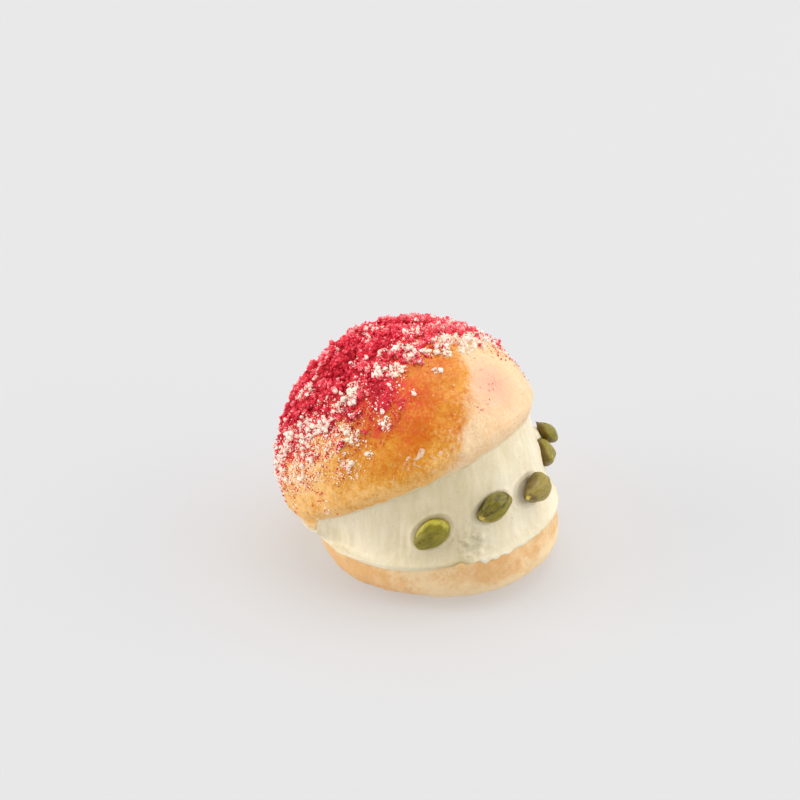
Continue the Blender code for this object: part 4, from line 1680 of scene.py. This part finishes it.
class BunLook(bpy.types.PropertyGroup):
    voxel: bpy.props.FloatProperty(
        name="Mesh size", description="Edge length of the crust's mesh", default=0.00067,
        min=0.0003, max=0.003, unit="LENGTH", precision=5,
    )
    tan: colour_property("Tan crust", "Crust near the cut", (0.93, 0.55, 0.195))
    golden: colour_property("Golden crust", "Crust halfway up the top half", (0.76, 0.335, 0.036))
    amber: colour_property("Amber crust", "Crust where the glaze browned", (0.64, 0.145, 0.004))
    scorch: colour_property("Dark flecks", "Darkest flecks of the browning", (0.52, 0.085, 0.006))
    # Colours of the pale side, which is partly crust that browned less and partly a painted reflection of
    # the key light.
    peach: colour_property("Peach crust", "Crust on the side that stayed pale", (0.86, 0.56, 0.29))
    pale: colour_property("Pale crust", "Palest clouds on that side", (0.93, 0.73, 0.47))
    blush: colour_property("Blush", "Pink blush on the pale side", (0.92, 0.44, 0.30))
    straw: colour_property("Straw", "Yellower part of the pale side", (0.90, 0.62, 0.30))
    fleck: colour_property("Flecks", "Dried glaze at the edge of the browning", (0.95, 0.78, 0.55))
    base: colour_property("Base", "Crust of the bottom half", (0.93, 0.71, 0.42))
    base_brown: colour_property("Browner base", "Darker clouds there", (0.80, 0.46, 0.185))
    orange_stain: colour_property("Light powder", "Crust with a trace of powder", (0.70, 0.080, 0.014))
    red_stain: colour_property("Thick powder", "Crust under thick powder", (0.50, 0.003, 0.020))
    dry_stain: colour_property("Dry powder", "Lighter grains of thick powder", (0.86, 0.050, 0.075))
    glaze: colour_property("Dried glaze", "Flakes and creases of dried glaze", (0.96, 0.78, 0.56))
    bread: colour_property("Bread", "Cut bread inside", (0.85, 0.72, 0.50))


class CreamLook(bpy.types.PropertyGroup):
    cream_light: colour_property("Cream", "Main colour of the cream", (0.885, 0.80, 0.61))
    # Deep cream also colours the painted shade across the cream's middle.
    cream_deep: colour_property("Deep cream", "Colour of its darker clouds", (0.74, 0.64, 0.405))
    smear: colour_property("Smears", "Kernel skin smeared into it", (0.50, 0.45, 0.27))
    brim: colour_property("Brim", "Upper edge, where crumb of the crust sticks to it", (0.88, 0.67, 0.40))
    # Colour of the painted shadow in the gap under the cream's lip.
    gap: colour_property("Gap", "Shaded gap under its edge", (0.36, 0.25, 0.06))
    speck: colour_property("Specks", "Ground nut in the cream", (0.20, 0.17, 0.06))


class KernelLook(bpy.types.PropertyGroup):
    # Dark green also serves as painted shade in the kernels' grooves.
    kernel_dark: colour_property("Dark green", "Hollows of the kernels", (0.060, 0.048, 0.004))
    kernel_green: colour_property("Olive", "Main colour of the kernels", (0.260, 0.215, 0.010))
    # Light edge colour, which also carries the painted highlight on the kernels' lit side.
    kernel_bright: colour_property("Light edge", "Yellow-green edges", (0.50, 0.45, 0.045))
    kernel_khaki: colour_property("Khaki", "Paler, yellower skin", (0.36, 0.255, 0.045))
    # Browned side, which also stands for painted shade where the kernels meet the cream.
    kernel_brown: colour_property("Browned side", "Browned skin", (0.135, 0.080, 0.008))
    kernel_yellow: colour_property("Scar", "Scar at the tip and crease", (0.78, 0.58, 0.10))


class CrumbLook(bpy.types.PropertyGroup):
    seed: bpy.props.IntProperty(name="Seed", description="Seed of the random placing", default=5)
    # Deep red also serves as painted shade in the hollows between the red crumbs.
    deep_red: colour_property("Deep red", "Powder in the hollows", (0.56, 0.002, 0.022))
    raspberry: colour_property("Raspberry", "Main colour of the powder", (0.95, 0.048, 0.095))
    # Dusty pink also serves as painted highlight on the tops of the red crumbs.
    dusty_pink: colour_property("Dusty pink", "Dry powder", (1.0, 0.50, 0.50))
    crumb_white: colour_property("White crumb", "Lightest crumb", (1.0, 0.93, 0.82))
    crumb_cream: colour_property("Cream crumb", "Yellower crumb", (0.99, 0.82, 0.58))


class StageLook(bpy.types.PropertyGroup):
    floor: colour_property("Floor", "Colour of the floor", (0.290, 0.294, 0.305))
    # Warm tint of the painted bounce light in the floor's glow by the bun.
    floor_near: colour_property("Floor near", "Colour of the floor's glow by the bun", (1.0, 0.94, 0.90))
    floor_glow: bpy.props.FloatProperty(
        name="Floor glow", description="Light that the floor gives off itself", default=0.42
    )
    lens: bpy.props.FloatProperty(
        name="Lens", description="Focal length", default=121.5, min=20, max=400, unit="CAMERA"
    )
    distance: bpy.props.FloatProperty(
        name="Distance", description="From the bun to the camera", default=0.9, unit="LENGTH"
    )
    aim_right: bpy.props.FloatProperty(
        name="Aim right", description="Aim, to the right of the foot", default=-0.0122, unit="LENGTH"
    )
    aim_up: bpy.props.FloatProperty(
        name="Aim up", description="Aim, above the foot", default=0.0481, unit="LENGTH"
    )
    key: bpy.props.FloatProperty(name="Key", description="Brightness of the right softbox", default=1.2)
    top: bpy.props.FloatProperty(name="Top", description="Brightness of the softbox above", default=1.5)
    kicker: bpy.props.FloatProperty(
        name="Kicker", description="Brightness of the left softbox", default=2.8
    )
    fill: bpy.props.FloatProperty(name="Fill", description="Brightness all round", default=0.90)
    front: bpy.props.FloatProperty(
        name="Front", description="Brightness on the camera's side", default=0.50
    )


LOOKS = {
    "maritozzo_bun": BunLook,
    "maritozzo_cream": CreamLook,
    "maritozzo_kernels": KernelLook,
    "maritozzo_crumbs": CrumbLook,
    "maritozzo_stage": StageLook,
}


# ---------------------------------------------------------------- operators


class MARITOZZO_OT_crust(bpy.types.Operator):
    """Makes the bun's crust in place of its solid"""

    bl_idname = "maritozzo.crust"
    bl_label = "Crust"

    def execute(self, context):
        look = context.scene.maritozzo_bun
        crust = finish_piece(build_crust(look), crust_finish(look), "crust", "bun")
        finish_piece(build_glaze(crust.data), glaze_finish(look), "crust", "bun")
        return {"FINISHED"}


class MARITOZZO_OT_cream(bpy.types.Operator):
    """Fills the cut with cream"""

    bl_idname = "maritozzo.cream"
    bl_label = "Cream"

    def execute(self, context):
        look = context.scene.maritozzo_cream
        filling = build_cream(bpy.data.objects["crust"].data)
        finish_piece(filling, cream_finish(look), "cream", "cream")
        return {"FINISHED"}


class MARITOZZO_OT_kernels(bpy.types.Operator):
    """Presses the pistachio kernels into the cream"""

    bl_idname = "maritozzo.kernels"
    bl_label = "Kernels"

    def execute(self, context):
        material = kernel_finish(context.scene.maritozzo_kernels)
        for number, (kernel, side) in enumerate(zip(KERNELS, KERNEL_SIDES), 1):
            piece = build_kernel(number, kernel, side)
            finish_piece(piece, material, "pistachio", f"pistachio_{number}")
        return {"FINISHED"}


class MARITOZZO_OT_crumbs(bpy.types.Operator):
    """Strews red and white crumbs over the crust"""

    bl_idname = "maritozzo.crumbs"
    bl_label = "Crumbs"

    def execute(self, context):
        look = context.scene.maritozzo_crumbs
        crust = bpy.data.objects["crust"]
        red, white, red_grains, pink_grains, white_grains = build_crumbs(look, crust)
        raspberry = red_crumb_finish(look, "raspberry crumb", 0.0)
        for piece in (red, red_grains):
            finish_piece(piece, raspberry, "red_crumb", "bun", smooth=False)
        dry_raspberry = red_crumb_finish(look, "dry raspberry crumb", 0.35)
        finish_piece(pink_grains, dry_raspberry, "red_crumb", "bun", smooth=False)
        white_finish = white_crumb_finish(look)
        for piece in (white, white_grains):
            finish_piece(piece, white_finish, "white_crumb", "bun", smooth=False)
        return {"FINISHED"}


class MARITOZZO_OT_stage(bpy.types.Operator):
    """Sets up the floor, the lamps and the camera"""

    bl_idname = "maritozzo.stage"
    bl_label = "Stage"

    def execute(self, context):
        look = context.scene.maritozzo_stage
        bpy.ops.mesh.primitive_plane_add(size=12)
        floor = context.object
        floor.name = "floor"
        floor.data.materials.append(floor_finish(look))
        right, toward, back = view_directions()
        up = Vector(UP_AXIS)
        key = 0.87 * right + 0.05 * toward + 0.5 * up
        add_softbox("key softbox", key, 2.5, 2.9, look.key, (1.0, 0.99, 0.985))
        kicker = -0.95 * right + 0.15 * toward + 0.35 * up
        add_softbox("left softbox", kicker, 2.5, 2.0, look.kicker, (1.0, 0.97, 0.92))
        overhead = 0.05 * right - 0.30 * toward + up
        add_softbox("top softbox", overhead, 2.5, 2.2, look.top, (1.0, 0.99, 0.98))
        add_world((1.0, 0.985, 0.96), toward, look.fill, look.front)
        add_camera(look, right, back)
        context.scene.view_settings.view_transform = "Standard"
        return {"FINISHED"}


OPERATORS = (
    MARITOZZO_OT_crust,
    MARITOZZO_OT_cream,
    MARITOZZO_OT_kernels,
    MARITOZZO_OT_crumbs,
    MARITOZZO_OT_stage,
)


class MARITOZZO_PT_panel(bpy.types.Panel):
    """Lists the steps that make the maritozzo"""

    bl_label = "Maritozzo"
    bl_space_type = "VIEW_3D"
    bl_region_type = "UI"
    bl_category = "Maritozzo"

    def draw(self, context):
        for step in OPERATORS:
            self.layout.operator(step.bl_idname)
        for name, look in LOOKS.items():
            box = self.layout.box()
            for field in look.__annotations__:
                box.prop(getattr(context.scene, name), field)


CLASSES = (*LOOKS.values(), *OPERATORS, MARITOZZO_PT_panel)


def register():
    for item in CLASSES:
        bpy.utils.register_class(item)
    for name, look in LOOKS.items():
        setattr(bpy.types.Scene, name, bpy.props.PointerProperty(type=look))


def unregister():
    for name in LOOKS:
        delattr(bpy.types.Scene, name)
    for item in reversed(CLASSES):
        bpy.utils.unregister_class(item)


def main():
    register()
    bpy.ops.maritozzo.crust()
    bpy.ops.maritozzo.cream()
    bpy.ops.maritozzo.kernels()
    bpy.ops.maritozzo.crumbs()
    bpy.ops.maritozzo.stage()


if __name__ == "__main__":
    main()
